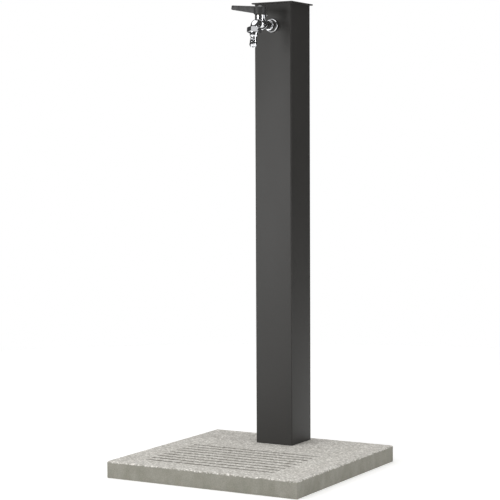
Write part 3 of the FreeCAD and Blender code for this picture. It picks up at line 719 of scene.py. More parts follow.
def skin(rings: Sequence[Sequence[Vector]], endless: bool = False) -> Mesh:
    """Skins a row of equal closed rings.

    Args:
        rings: Each ring's points, in matching order.
        endless: Whether the last ring runs on into the first, as on a tube with a wall. Otherwise
            both end rings are filled.

    Returns:
        The closed mesh.
    """
    mesh = bmesh.new()
    rows = [[mesh.verts.new(p) for p in ring] for ring in rings]
    following = rows[1:] + rows[:1] if endless else rows[1:]
    for here, after in zip(rows, following):
        for k in range(len(here)):
            n = (k + 1) % len(here)
            mesh.faces.new((here[k], here[n], after[n], after[k]))
    if not endless:
        mesh.faces.new(rows[0])
        mesh.faces.new(rows[-1])
    bmesh.ops.recalc_face_normals(mesh, faces=mesh.faces)
    return mesh


def sweep(path: Sequence[Vector], radius: float, segments: int = 64) -> Mesh:
    """Round bar along a path that lies in a plane of constant X.

    Args:
        path: Middle line.
        radius: The bar's radius.
        segments: Steps round the bar.

    Returns:
        The closed mesh.
    """
    angles = [2 * math.pi * k / segments for k in range(segments)]
    rings = []
    for i, here in enumerate(path):
        tangent = (path[min(i + 1, len(path) - 1)] - path[max(i - 1, 0)]).normalized()
        side = RIGHT.cross(tangent)
        rings.append([here + RIGHT * (radius * math.cos(a)) + side * (radius * math.sin(a))
                      for a in angles])
    return skin(rings)


def rounded_square(half: float, radius: float, steps: int = 8) -> list[Point]:
    """Square outline with rounded corners.

    Args:
        half: Half of its width.
        radius: Corner radius.
        steps: Segments in each corner.

    Returns:
        The outline, anticlockwise.
    """
    inner = half - radius
    points: list[Point] = []
    for i, (sx, sy) in enumerate(((1, 1), (-1, 1), (-1, -1), (1, -1))):
        points += arc_points((sx * inner, sy * inner), radius, 90 * i, 90 * i + 90, steps)
    return points


def square_ring(half: float, radius: float, height: float) -> list[Vector]:
    """A rounded square as a ring at a height."""
    return [Vector((x, y, height)) for x, y in rounded_square(half, radius)]


def moved(mesh: Mesh, base: Vector, axis: Vector = UP) -> Mesh:
    """Turns a mesh's Z onto an axis and moves its origin to base."""
    mesh.transform(Matrix.Translation(base) @ UP.rotation_difference(axis).to_matrix().to_4x4())
    return mesh


def joined(meshes: Sequence[Mesh]) -> Mesh:
    """Puts several meshes into the first, without welding them.

    Args:
        meshes: The meshes. All but the first are freed.

    Returns:
        The first mesh.
    """
    first = meshes[0]
    for extra in meshes[1:]:
        data = bpy.data.meshes.new("part")
        extra.to_mesh(data)
        first.from_mesh(data)
        extra.free()
        bpy.data.meshes.remove(data)
    return first


def scratch_object(mesh: Mesh, name: str = "scratch") -> bpy.types.Object:
    """A temporary object that holds a mesh.

    Args:
        mesh: The mesh, which is freed.
        name: The object's name.

    Returns:
        The object, in the scene.
    """
    data = bpy.data.meshes.new(name)
    mesh.to_mesh(data)
    mesh.free()
    holder = bpy.data.objects.new(name, data)
    bpy.context.scene.collection.objects.link(holder)
    return holder


def discard(holder: bpy.types.Object) -> None:
    """Removes a temporary object and its mesh.

    Args:
        holder: The object.
    """
    data = holder.data
    bpy.data.objects.remove(holder)
    bpy.data.meshes.remove(data)


def settled(holder: bpy.types.Object) -> Mesh:
    """Applies a temporary object's modifiers and removes it.

    Args:
        holder: The object.

    Returns:
        Its mesh with the modifiers applied.
    """
    graph = bpy.context.evaluated_depsgraph_get()
    data = bpy.data.meshes.new_from_object(holder.evaluated_get(graph))
    mesh = bmesh.new()
    mesh.from_mesh(data)
    discard(holder)
    bpy.data.meshes.remove(data)
    return mesh


def cast_together(meshes: Sequence[Mesh], voxel: float, passes: int) -> Mesh:
    """Grows several closed meshes into one skin with filleted joints, as a casting has.

    Args:
        meshes: The closed shapes, which overlap.
        voxel: Grid step in millimetres.
        passes: Smoothing passes, which set how wide the fillets are.

    Returns:
        One closed mesh.
    """
    holder = scratch_object(joined(meshes))
    remesh = holder.modifiers.new("skin", "REMESH")
    remesh.mode = "VOXEL"
    remesh.voxel_size = voxel
    remesh.use_smooth_shade = True
    smooth = holder.modifiers.new("fillet", "SMOOTH")
    smooth.factor = 0.5
    smooth.iterations = passes
    return settled(holder)


def cut(mesh: Mesh, cutters: Sequence[Mesh]) -> Mesh:
    """Cuts closed meshes out of another.

    Args:
        mesh: What is cut.
        cutters: What is taken away, one after the other.

    Returns:
        The closed result.
    """
    holder = scratch_object(mesh)
    tools = [scratch_object(cutter, "cutter") for cutter in cutters]
    for tool in tools:
        boolean = holder.modifiers.new("cut", "BOOLEAN")
        boolean.operation = "DIFFERENCE"
        boolean.solver = "EXACT"
        boolean.object = tool
    result = settled(holder)
    for tool in tools:
        discard(tool)
    mend(result)
    return result


def mend(mesh: Mesh) -> None:
    """Welds the hairline cracks that cutting leaves and closes what stays open.

    Args:
        mesh: The mesh, in millimetres.
    """
    bmesh.ops.remove_doubles(mesh, verts=mesh.verts, dist=0.003)
    bmesh.ops.dissolve_degenerate(mesh, edges=mesh.edges, dist=0.001)
    loose = [v for v in mesh.verts if not v.link_faces]
    bmesh.ops.delete(mesh, geom=loose, context="VERTS")
    rims = [e for e in mesh.edges if len(e.link_faces) == 1]
    bmesh.ops.holes_fill(mesh, edges=rims, sides=0)


# ---------------------------------------------------------------- repeated features
@dataclass
class Grower:
    """A Geometry Nodes tree that makes a repeated feature.

    Attributes:
        name: The tree's name.
        inputs: Name of each input to its socket type, without the "NodeSocket" that starts it.
    """

    name: str
    inputs: dict[str, str]

    def __post_init__(self) -> None:
        """Builds the tree: its inputs, the feature, then Realize Instances and Set Material."""
        tree = bpy.data.node_groups.new(self.name, "GeometryNodeTree")
        self.tree = tree
        self.ids = {label: tree.interface.new_socket(name=label, in_out="INPUT",
                                                     socket_type="NodeSocket" + kind).identifier
                    for label, kind in {**self.inputs, "Finish": "Material"}.items()}
        tree.interface.new_socket(name="Geometry", in_out="OUTPUT",
                                  socket_type="NodeSocketGeometry")
        given = add_node(tree, "NodeGroupInput").outputs
        real = add_node(tree, "GeometryNodeRealizeInstances", {"Geometry": self.feature(given)})
        dressed = add_node(tree, "GeometryNodeSetMaterial",
                           {"Geometry": real.outputs["Geometry"], "Material": given["Finish"]})
        add_node(tree, "NodeGroupOutput", {"Geometry": dressed.outputs["Geometry"]})

    def feature(self, given: Any) -> Socket:
        """Adds the nodes that make the feature.

        Args:
            given: The tree's inputs by name.

        Returns:
            The feature's geometry.
        """
        raise NotImplementedError

    def run(self, surface: Surface, values: dict[str, Any]) -> Mesh:
        """Runs the tree.

        Args:
            surface: The feature's finish.
            values: What each other input is set to.

        Returns:
            The mesh that it makes.
        """
        holder = scratch_object(bmesh.new(), self.name)
        modifier = holder.modifiers.new("grow", "NODES")
        modifier.node_group = self.tree
        for label, value in {**values, "Finish": surface.material()}.items():
            modifier[self.ids[label]] = value
        return settled(holder)


@dataclass
class ScrewGrid(Grower):
    """Sets one screw on each corner of a rectangle in the XY plane."""

    name: str = "screw_grid"
    inputs: dict[str, str] = field(
        default_factory=lambda: {"Screw": "Object", "Width": "Float", "Height": "Float"})

    def feature(self, given: Any) -> Socket:
        """Adds a grid of four points with the screw on each.

        Args:
            given: The tree's inputs by name.

        Returns:
            The screws' geometry.
        """
        grid = add_node(self.tree, "GeometryNodeMeshGrid",
                        {"Size X": given["Width"], "Size Y": given["Height"],
                         "Vertices X": 2, "Vertices Y": 2})
        screw = add_node(self.tree, "GeometryNodeObjectInfo", {"Object": given["Screw"]})
        placed = add_node(self.tree, "GeometryNodeInstanceOnPoints",
                          {"Points": grid.outputs["Mesh"], "Instance": screw.outputs["Geometry"]})
        return placed.outputs["Instances"]

    def grow(self, screw: Mesh, width: float, height: float, surface: Surface) -> Mesh:
        """Sets the screws.

        Args:
            screw: One screw, its head's seat at the origin and its head towards +Z.
            width: Spacing along X.
            height: Spacing along Y.
            surface: The screws' finish.

        Returns:
            The screws as one mesh round the origin.
        """
        holder = scratch_object(screw, "one_screw")
        mesh = self.run(surface, {"Screw": holder, "Width": width, "Height": height})
        discard(holder)
        return mesh


@dataclass
class ThreadHelix(Grower):
    """Winds a ridge round a cylinder, as a pipe thread's crest."""

    name: str = "thread_helix"
    inputs: dict[str, str] = field(
        default_factory=lambda: {"Radius": "Float", "Length": "Float", "Turns": "Float",
                                 "Depth": "Float"})

    def feature(self, given: Any) -> Socket:
        """Adds a spiral with a four-sided ridge along it.

        Args:
            given: The tree's inputs by name.

        Returns:
            The ridge's geometry.
        """
        spiral = add_node(self.tree, "GeometryNodeCurveSpiral",
                          {"Resolution": 64, "Rotations": given["Turns"],
                           "Start Radius": given["Radius"], "End Radius": given["Radius"],
                           "Height": given["Length"]})
        ridge = add_node(self.tree, "GeometryNodeCurvePrimitiveCircle",
                         {"Resolution": 4, "Radius": given["Depth"]})
        wound = add_node(self.tree, "GeometryNodeCurveToMesh",
                         {"Curve": spiral.outputs["Curve"], "Profile Curve": ridge.outputs["Curve"],
                          "Fill Caps": True})
        return wound.outputs["Mesh"]

    def grow(self, radius: float, length: float, turns: float, depth: float,
             surface: Surface) -> Mesh:
        """Winds the ridge from the origin up +Z.

        Args:
            radius: Radius of the ridge's middle line.
            length: Length along the axis.
            turns: Number of turns.
            depth: Half of the ridge's height.
            surface: The ridge's finish.

        Returns:
            The ridge's mesh.
        """
        return self.run(surface, {"Radius": radius, "Length": length, "Turns": turns,
                                  "Depth": depth})


# ---------------------------------------------------------------- places from the frame
def box_mm(node: str) -> tuple[Vector, Vector]:
    """A CAD node's lowest and highest corners, in millimetres."""
    low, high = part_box(node)
    return Vector(low) / MM, Vector(high) / MM


def joint(name: str) -> dict[str, Any]:
    """A joint's entry in the frame."""
    return next(j for j in frame["joints"] if j["name"] == name)


class Places:
    """Points and axes that the sub-assemblies share, read from the frame, in millimetres."""

    def __init__(self) -> None:
        """Reads the slab's, column's and tap's places."""
        self.slab_low, self.slab_high = box_mm("base_slab")
        self.tube_low, self.tube_high = box_mm("column_tube")
        cap_low, self.cap_high = box_mm("top_cap")
        self.cap_half = (self.cap_high.x - cap_low.x) / 2
        self.column_middle = (self.tube_low + self.tube_high) / 2
        self.column_half = (self.tube_high.x - self.tube_low.x) / 2
        self.ball = Vector(joint("lever_turn")["pos_m"]) / MM
        self.face = Vector((self.ball.x, self.tube_low.y, self.ball.z))
        self.outlet_axis = Vector(joint("connector_slide")["axis"]).normalized()
        on_outlet = Vector(joint("nut_turn")["pos_m"]) / MM
        drop = (self.ball.z - on_outlet.z) / -self.outlet_axis.z
        self.outlet = on_outlet - self.outlet_axis * drop

    def above_slab(self, height: float = 0.0) -> Vector:
        """The column's middle line, at a height."""
        return Vector((self.column_middle.x, self.column_middle.y, height))


# ---------------------------------------------------------------- sub-assemblies
@dataclass
class SubAssembly:
    """What every sub-assembly shares: where things are and how a finished piece is handed over."""

    places: Places

    def piece(self, name: str, mesh: Mesh, surface: Surface, body: str, nodes: Sequence[str] = (),
              sharp: float = 32.0) -> bpy.types.Object:
        """Finishes a mesh as a piece of the object.

        Args:
            name: The piece's name.
            mesh: Its closed mesh, in millimetres and in place.
            surface: Its finish.
            body: The CAD body that it rides on.
            nodes: CAD nodes that it stands for.
            sharp: Edges that turn by more degrees than this stay crisp.

        Returns:
            The piece's object.
        """
        mesh.transform(Matrix.Scale(MM, 4))
        bmesh.ops.remove_doubles(mesh, verts=mesh.verts, dist=1e-7)
        data = bpy.data.meshes.new(name)
        mesh.to_mesh(data)
        mesh.free()
        data.shade_smooth()
        data.set_sharp_from_angle(angle=math.radians(sharp))
        data.materials.clear()
        data.materials.append(surface.material())
        made = bpy.data.objects.new(name, data)
        bpy.context.scene.collection.objects.link(made)
        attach(made, body)
        if nodes:
            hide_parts(*nodes)
        surface.slot
        LOG.info("%s: %d faces on %s", name, len(data.polygons), body)
        return made


@dataclass
class Slab(SubAssembly):
    """Cast slab with drainage grooves."""

    edge_round: float = 3.0
    edge_angles: tuple[int, ...] = (0, 25, 45, 65, 90)
    side_levels: tuple[float, ...] = (30.0, 22.0, 14.0, 7.0, 1.2, 0.0)
    foot_inset: float = 0.9
    coarse_x: float = 6.0
    coarse_y: float = 5.0
    groove_count: int = 9
    groove_pitch: float = 27.0
    groove_half_top: float = 4.1
    groove_half_floor: float = 3.3
    groove_margin: float = 0.6
    groove_depth: float = 4.0
    groove_length: float = 344.0
    groove_front_margin: float = 63.0
    feed_hole_radius: float = 22.0
    socket_radius: float = 7.0
    socket_half_spacing: float = 31.5
    socket_cover: float = 8.0
    overshoot: float = 5.0
    roughness: float = 0.22
    arris_wear: float = 1.2
    arris_drop: float = 0.6

    def build(self) -> None:
        """Builds the slab's piece."""
        over = self.places.slab_high.z + self.overshoot
        cutters = [lathe(bar_outline(self.feed_hole_radius, -self.overshoot, over), 64)]
        for x, y in four_corners(self.socket_half_spacing, self.socket_half_spacing):
            socket = lathe(bar_outline(self.socket_radius, self.socket_cover, over), 32)
            cutters.append(moved(socket, Vector((x, y, 0))))
        for cutter in cutters:
            moved(cutter, self.places.above_slab())
        self.piece("concrete_slab", cut(self.surface(), cutters), Surface.CONCRETE, "column",
                   ["base_slab"], 40.0)

    def lines(self, low: float, high: float, centres: Sequence[float],
              coarse: float) -> list[float]:
        """Grid lines across the slab, close together at its edges and at each groove's flanks.

        Args:
            low: The slab's lower edge.
            high: Its upper edge.
            centres: Where fine lines are wanted.
            coarse: Greatest step elsewhere.

        Returns:
            The lines in order.
        """
        rim = [self.edge_round * (1 - math.cos(math.radians(a))) for a in self.edge_angles]
        fine = {round(low + d, 3) for d in rim} | {round(high - d, 3) for d in rim}
        top, floor = self.groove_half_top, self.groove_half_floor
        flank = [floor + (top - floor) * t for t in (0, 0.3, 0.55, 0.8, 1.0)]
        flank += [0.0, floor * 0.5, top + self.groove_margin]
        for centre in centres:
            fine |= {round(centre + s * d, 3) for s in (-1, 1) for d in flank}
        ordered = sorted(fine)
        result = [ordered[0]]
        for after in ordered[1:]:
            before = result[-1]
            gap = after - before
            count = max(1, math.ceil(gap / coarse))
            result += [before + gap * i / count for i in range(1, count + 1)]
        return result

    def surface(self) -> Mesh:
        """The slab's skin: a height field on top, worn sides and a flat underside.

        Returns:
            The closed mesh.
        """
        low, high = self.places.slab_low, self.places.slab_high
        grooves = [low.y + self.groove_front_margin + i * self.groove_pitch
                   for i in range(self.groove_count)]
        middle = self.places.column_middle.x
        straight = self.groove_length / 2 - self.groove_half_top
        xs = self.lines(low.x, high.x, [middle - straight, middle + straight], self.coarse_x)
        ys = self.lines(low.y, high.y, grooves, self.coarse_y)
        mesh = bmesh.new()
        points = [[Vector((x, y, self.height(x, y, grooves, middle, straight))) for y in ys]
                  for x in xs]
        top = [[mesh.verts.new(self.worn(point)) for point in row] for row in points]
        for here, after in zip(top, top[1:]):
            for j in range(len(ys) - 1):
                mesh.faces.new((here[j], after[j], after[j + 1], here[j + 1]))
        rim = [row[0] for row in top] + top[-1][1:]
        rim += [row[-1] for row in top[-2::-1]] + top[0][-2:0:-1]
        above = rim
        for level in self.side_levels:
            inset = 0.0 if level else self.foot_inset
            row = []
            for vertex in rim:
                x = min(max(vertex.co.x, low.x + inset), high.x - inset)
                y = min(max(vertex.co.y, low.y + inset), high.y - inset)
                point = Vector((x, y, level))
                row.append(mesh.verts.new(self.worn(point) if level else point))
            for k in range(len(rim)):
                n = (k + 1) % len(rim)
                mesh.faces.new((above[k], row[k], row[n], above[n]))
            above = row
        mesh.faces.new(above)
        bmesh.ops.triangulate(mesh, faces=[f for f in mesh.faces if len(f.verts) > 4])
        bmesh.ops.recalc_face_normals(mesh, faces=mesh.faces)
        return mesh

    def height(self, x: float, y: float, grooves: Sequence[float], middle: float,
               straight: float) -> float:
        """The top's height at a place.

        Args:
            x: Place along X.
            y: Place along Y.
            grooves: Y of each groove's middle line.
            middle: X of the grooves' middles.
            straight: Half-length of a groove's middle line.

        Returns:
            The height in millimetres.
        """
        low, high = self.places.slab_low, self.places.slab_high
        r = self.edge_round
        dx = max(0.0, r - min(x - low.x, high.x - x))
        dy = max(0.0, r - min(y - low.y, high.y - y))
        over = min(math.hypot(dx, dy), r)
        level = high.z - (r - math.sqrt(max(r * r - over * over, 0.0)))
        across = min(abs(y - g) for g in grooves)
        distance = math.hypot(max(0.0, abs(x - middle) - straight), across)
        t = (self.groove_half_top - distance) / (self.groove_half_top - self.groove_half_floor)
        t = min(max(t, 0.0), 1.0)
        return level - self.groove_depth * t * t * (3 - 2 * t)

    def worn(self, point: Vector) -> Vector:
        """Moves a point in by up to the casting's roughness, never outwards.

        Args:
            point: A point on the slab's true surface.

        Returns:
            The point, moved further in along the upper arris than elsewhere.
        """
        low, high = self.places.slab_low, self.places.slab_high
        r = self.edge_round
        arris = 1.0 - min(1.0, (high.z - point.z) / (2 * r))
        fine = noise.noise(point * 0.11) * 0.5 + noise.noise(point * 0.45) * 0.35
        depth = self.roughness * max(0.0, 0.6 + fine) * (1.0 + self.arris_wear * arris)
        near_x = max(0.0, 1.0 - min(point.x - low.x, high.x - point.x) / r)
        near_y = max(0.0, 1.0 - min(point.y - low.y, high.y - point.y) / r)
        inward = Vector((-math.copysign(near_x, point.x), -math.copysign(near_y, point.y),
                         -self.arris_drop * arris))
        return point + inward * depth


@dataclass
class ScrewPattern:
    """Four screws on the column's back.

    Attributes:
        name: The piece's name.
        node: The CAD node that it stands for.
        size: Thread diameter.
        middle: Middle of the four.
        width: Spacing along X.
        height: Spacing along Z.
    """

    name: str
    node: str
    size: float
    middle: Vector
    width: float
    height: float


@dataclass
class Column(SubAssembly):
    """Square tube, its cover plate and the screws that show."""

    wall: float = 2.0
    corner_radius: float = 2.5
    inner_radius: float = 0.6
    end_round: float = 0.25
    tap_hole_radius: float = 11.2775
    foot_screw: float = 6.0
    foot_screw_width: float = 50.0
    foot_screw_height: float = 65.0
    foot_screw_low: float = 40.0
    tap_screw: float = 5.0
    tap_screw_inset: float = 16.0
    tap_screw_high: float = 20.0
    tap_screw_low: float = 28.0
    hole_clearance: float = 0.3
    overshoot: float = 3.0
    cap_screw: float = 4.0
    cap_screw_inset: float = 18.0
    cap_screw_end: float = -14.0
    cap_corner_radius: float = 3.0
    cap_edge: float = 0.5

    def build(self) -> None:
        """Builds the tube, the cap and their screws."""
        grid = ScrewGrid()
        patterns = self.rear_patterns()
        self.piece("column_profile", self.tube(patterns), Surface.POWDER_COAT, "column",
                   ["column_tube"])
        for p in patterns:
            screws = grid.grow(self.button_screw(p.size), p.width, p.height, Surface.STAINLESS)
            screws.transform(Matrix.Translation(p.middle)
                             @ Matrix.Rotation(math.radians(-90), 4, "X"))
            self.piece(p.name, screws, Surface.STAINLESS, "column", [p.node])
        self.piece("cover_plate", self.cap(), Surface.POWDER_COAT, "column", ["top_cap"])
        reach = 2 * (self.places.column_half - self.cap_screw_inset)
        screws = grid.grow(self.countersunk_screw(), reach, reach, Surface.STAINLESS)
        self.piece("cover_screws", moved(screws, self.places.above_slab(self.places.cap_high.z)),
                   Surface.STAINLESS, "column", ["cap_screws"])

    def rear_patterns(self) -> list[ScrewPattern]:
        """The screws on the column's back.

        Returns:
            The pattern at the foot and the one behind the tap.
        """
        x, rear = self.places.column_middle.x, self.places.tube_high.y
        low = self.places.tube_low.z + self.foot_screw_low
        foot = Vector((x, rear, low + self.foot_screw_height / 2))
        rise = (self.tap_screw_high - self.tap_screw_low) / 2
        upper = Vector((x, rear, self.places.ball.z + rise))
        return [ScrewPattern("foot_screws", "column_screws", self.foot_screw, foot,
                             self.foot_screw_width, self.foot_screw_height),
                ScrewPattern("tap_bracket_screws", "bracket_screws", self.tap_screw, upper,
                             2 * (self.places.column_half - self.tap_screw_inset),
                             self.tap_screw_high + self.tap_screw_low)]

    def tube(self, patterns: Sequence[ScrewPattern]) -> Mesh:
        """The extruded profile with its holes.

        Args:
            patterns: The screws on its back.

        Returns:
            The closed mesh, in place.
        """
        half, ease = self.places.column_half, self.end_round
        low, high = self.places.tube_low.z, self.places.tube_high.z
        rows = [square_ring(half - inset, self.corner_radius - inset / 2, z)
                for inset, z in ((ease, low), (0.0, low + ease), (0.0, high - ease), (ease, high))]
        rows += [square_ring(half - self.wall, self.inner_radius, z) for z in (high, low)]
        profile = moved(skin(rows, endless=True), self.places.above_slab())
        cutters = [self.drill(self.tap_hole_radius, self.places.face, BACK, 64)]
        for p in patterns:
            for x, z in four_corners(p.width / 2, p.height / 2):
                cutters.append(self.drill(p.size / 2 + self.hole_clearance,
                                          p.middle + Vector((x, 0, z)), OUT, 32))
        return cut(profile, cutters)

    def drill(self, radius: float, place: Vector, axis: Vector, segments: int) -> Mesh:
        """A cutter that goes through one wall."""
        outline = bar_outline(radius, -self.overshoot, self.wall + self.overshoot)
        return moved(lathe(outline, segments), place, axis)

    def cap(self) -> Mesh:
        """The cover plate with eased edges and countersunk holes.

        Returns:
            The closed mesh, in place.
        """
        low, high = self.places.tube_high.z, self.places.cap_high.z
        edge, soft = self.cap_edge, self.cap_edge * 0.3
        rows = [square_ring(self.places.cap_half - inset, self.cap_corner_radius, z)
                for inset, z in ((edge, low), (soft, low + soft), (0.0, low + edge),
                                 (0.0, high - edge), (soft, high - soft), (edge, high))]
        reach = self.places.column_half - self.cap_screw_inset
        head, shank = self.cap_screw, self.cap_screw / 2 + self.hole_clearance
        middle = self.places.column_middle
        cutters = []
        for x, y in four_corners(reach, reach):
            hole = lathe([(0, 1), (head, 1), (head, 0), (shank, shank - head), (shank, -9),
                          (0, -9)], 32)
            cutters.append(moved(hole, Vector((middle.x + x, middle.y + y, high))))
        return cut(moved(skin(rows), self.places.above_slab()), cutters)

    def hexagon(self, flats: float, low: float, high: float) -> Mesh:
        """A six-sided key, to cut a socket."""
        corner = flats / math.sqrt(3)
        return prism([(corner * math.cos(math.radians(60 * k)),
                       corner * math.sin(math.radians(60 * k))) for k in range(6)], low, high)

    def button_screw(self, size: float) -> Mesh:
        """A domed socket-head screw, to the usual proportions.

        Args:
            size: Thread diameter.

        Returns:
            The screw, its seat at the origin and its head towards +Z.
        """
        head, height, key, rim = 0.875 * size, 0.55 * size, 0.67 * size, 0.12 * size
        length, half = 2.7 * size, size / 2
        outline = [(0, -length), (half - 0.4, -length), (half, -length + 0.6), (half, 0), (head, 0),
                   (head, rim)]
        outline += [(head * math.cos(math.radians(a)),
                     rim + (height - rim) * math.sin(math.radians(a)))
                    for a in (14, 28, 42, 54, 64)]
        outline += [(key * 0.36, height), (0, height)]
        return cut(lathe(outline, 48), [self.hexagon(key, height * 0.35, height + 1)])

    def countersunk_screw(self) -> Mesh:
        """A countersunk socket screw.

        Returns:
            The screw, its top at the origin.
        """
        head, shank, end = self.cap_screw, self.cap_screw / 2, self.cap_screw_end
        brim = head - 0.15
        outline = [(0, end), (shank - 0.3, end), (shank, end + 0.5), (shank, shank - head),
                   (brim, -0.3), (brim, -0.06), (head - 0.4, 0), (0, 0)]
        return cut(lathe(outline, 48), [self.hexagon(0.6 * self.cap_screw, -1.4, 1)])


@dataclass
class Tap(SubAssembly):
    """Rosette, inlet neck and the cast valve body with its spout."""

    rosette_radius: float = 16.5
    rosette_front: float = 12.0
    rosette_length: float = 20.0
    rosette_wall: float = 1.2
    rim_height: float = 3.0
    rim_rise: float = 3.6
    rim_sweep: float = 62.0
    flare: float = 0.4
    flare_curve: float = 2.2
    lip_height: float = 1.6
    lip_inset: float = 0.8
    lip_round: float = 1.2
    shoulder_rise: float = 6.6
    gasket: float = 1.0
    thread_radius: float = 10.4775
    thread_chamfer: float = 0.8
    thread_end: float = 4.0
    neck_start: float = 4.1
    tail_start: float = -20.0
    neck_radius: float = 10.5
    neck_gap: float = 0.15
    ring_slope: float = 1.4
    ring_start: float = 45.5
    ring_end: float = 50.0
    ring_radius: float = 12.8
    spigot_radius: float = 10.0
    spigot_end: float = 56.5
    seat_radius: float = 8.2
    seat_depth: float = 4.0
    throat: float = 4.0
    throat_taper: float = 8.0
    turned_edge: float = 0.5
    bore_radius: float = 5.25
    tail_bore_radius: float = 7.05
    housing_radius: float = 13.0
    barrel_radius: float = 12.3
    cavity_radius: float = 8.7
    cavity_back: float = -5.7
    cavity_front: float = 5.5
    seat_reach: float = 9.5
    boss_radius: float = 10.75
    boss_top: float = 22.0
    boss_edge: float = 0.8
    stem_bore_radius: float = 4.05
    flange_bore_radius: float = 5.1
    flange_bore_top: float = 10.5
    gland_radius: float = 6.5
    gland_floor: float = 16.0
    stop_angle: float = 30.0
    stop_root: float = 3.0
    stop_foot: float = 3.5
    stop_reach: float = 16.5
    stop_half_width: float = 3.0
    stop_low: float = 11.0
    stop_shoulder: float = 18.5
    stop_top: float = 21.5
    pin_place: float = 11.5
    pin_radius: float = 1.8
    pin_root: float = 3.0
    pin_top: float = 25.8
    spout_radius: float = 10.0
    spout_bend: float = 12.0
    bend_steps: int = 24
    thread_start: float = 9.5
    outlet_end: float = 16.8
    outlet_thread_radius: float = 13.22
    outlet_thread_pitch: float = 1.814
    outlet_thread_height: float = 1.0
    outlet_thread_margin: float = 1.2
    casting_voxel: float = 0.42
    casting_passes: int = 7
    overlap: float = 1.5
    bore_overshoot: float = 5.0
    gland_overshoot: float = 4.0

    def build(self) -> None:
        """Builds the fixed parts of the tap."""
        face = self.places.face
        self.piece("rosette_bell", moved(lathe(self.bell()), face, OUT), Surface.CHROME, "column",
                   ["rosette"])
        self.piece("inlet_neck", moved(lathe(self.tail()), face, OUT), Surface.CHROME, "column",
                   ["inlet_tail"])
        self.piece("tap_body", self.body(), Surface.CHROME, "column", ["valve_body"], 38.0)
        self.piece("outlet_thread", self.outlet_collar(), Surface.CHROME, "column")

    def bell(self) -> list[Point]:
        """Outline of the rosette.

        Returns:
            Points as (radius, height), from the rim outside to the rim inside.
        """
        rim, front, w = self.rosette_radius, self.rosette_front, self.rosette_wall
        back, length = self.gasket, self.rosette_length
        bore = self.neck_radius + self.neck_gap
        shoulder = back + self.shoulder_rise
        edge = self.rim_height
        outside = [(rim, back), (rim, back + edge)]
        outside += arc_points((rim - edge, back + self.rim_rise), edge, 0, self.rim_sweep, 7)
        start = Vector(outside[-1])
        for k in range(1, 13):
            t = k / 12
            reach = front + self.flare - start.x
            outside.append((start.x + reach * (1 - (1 - t) ** self.flare_curve),
                            start.y + (length - self.lip_height - start.y) * t))
        outside += arc_points((front - self.lip_inset, length - self.lip_round), self.lip_round,
                              0, 90, 5)
        inside = [(bore, length), (bore, length - w), (front - w, length - w),
                  (front + self.flare - w, shoulder + 6), (rim - 2.0 - w, shoulder - 1.4),
                  (rim - w, back + edge), (rim - w, back)]
        return outside + inside

    def tail(self) -> list[Point]:
        """Outline of the inlet tail: thread, neck, wrench ring and the spigot round the seat.

        Returns:
            Points as (radius, height), eased.
        """
        thread, neck, ring, spigot = (self.thread_radius, self.neck_radius, self.ring_radius,
                                      self.spigot_radius)
        start, chamfer = self.tail_start, self.thread_chamfer
        seat, end = self.seat_radius, self.spigot_end
        seat_back = end - self.seat_depth
        corners = [(self.tail_bore_radius, start), (thread - chamfer, start),
                   (thread, start + chamfer), (thread, self.thread_end), (neck, self.neck_start),
                   (neck, self.ring_start - self.ring_slope), (ring, self.ring_start),
                   (ring, self.ring_end), (spigot, self.ring_end), (spigot, end), (seat, end),
                   (seat, seat_back), (self.bore_radius, seat_back),
                   (self.bore_radius, seat_back - self.throat),
                   (self.tail_bore_radius, seat_back - self.throat_taper)]
        return eased(corners, self.turned_edge)

    def spout_path(self, end: float) -> list[Vector]:
        """Middle line of the spout, from the ball to a point on the outlet axis.

        Args:
            end: How far down the outlet axis it goes.

        Returns:
            The line's points, in place.
        """
        outlet, axis = self.places.outlet, self.places.outlet_axis
        turn = OUT.angle(axis)
        start = outlet - OUT * (self.spout_bend * math.tan(turn / 2))
        centre = start - UP * self.spout_bend
        angles = [turn * k / self.bend_steps for k in range(self.bend_steps + 1)]
        bend = [centre + (OUT * math.sin(a) + UP * math.cos(a)) * self.spout_bend for a in angles]
        return [self.places.ball] + bend + [outlet + axis * end]

    def body(self) -> Mesh:
        """The casting, with fillets where its bosses meet, and its bores.

        Returns:
            The closed mesh, in place.
        """
        ball = self.places.ball
        reach = (ball - self.places.face).length - self.ring_end
        sphere = arc_points((0, 0), self.housing_radius, -90, 90, 32)
        barrel = bar_outline(self.barrel_radius, 0, reach)
        boss = eased(bar_outline(self.boss_radius, 0, self.boss_top), self.boss_edge)
        spout = sweep(self.spout_path(self.thread_start + self.overlap), self.spout_radius)
        shapes = [moved(lathe(sphere, 72), ball), moved(lathe(barrel, 72), ball, BACK),
                  moved(lathe(boss, 72), ball), spout, self.stop_lug()]
        casting = cast_together(shapes, self.casting_voxel, self.casting_passes)
        back, front = self.cavity_back, self.cavity_front
        cavity = [(0, back), (self.cavity_radius, back), (self.cavity_radius, front),
                  (self.seat_radius, front), (self.seat_radius, self.seat_reach),
                  (0, self.seat_reach)]
        spigot = bar_outline(self.spigot_radius, front, reach + self.bore_overshoot)
        flange, stem, gland = self.flange_bore_radius, self.stem_bore_radius, self.gland_radius
        over = self.boss_top + self.gland_overshoot
        stem_bore = [(0, 0), (flange, 0), (flange, self.flange_bore_top),
                     (stem, self.flange_bore_top), (stem, self.gland_floor),
                     (gland, self.gland_floor), (gland, over), (0, over)]
        cutters = [moved(lathe(cavity, 64), ball, OUT), moved(lathe(spigot, 64), ball, BACK),
                   moved(lathe(stem_bore, 64), ball),
                   sweep(self.spout_path(self.outlet_end), self.bore_radius, 48)]
        return cut(casting, cutters)

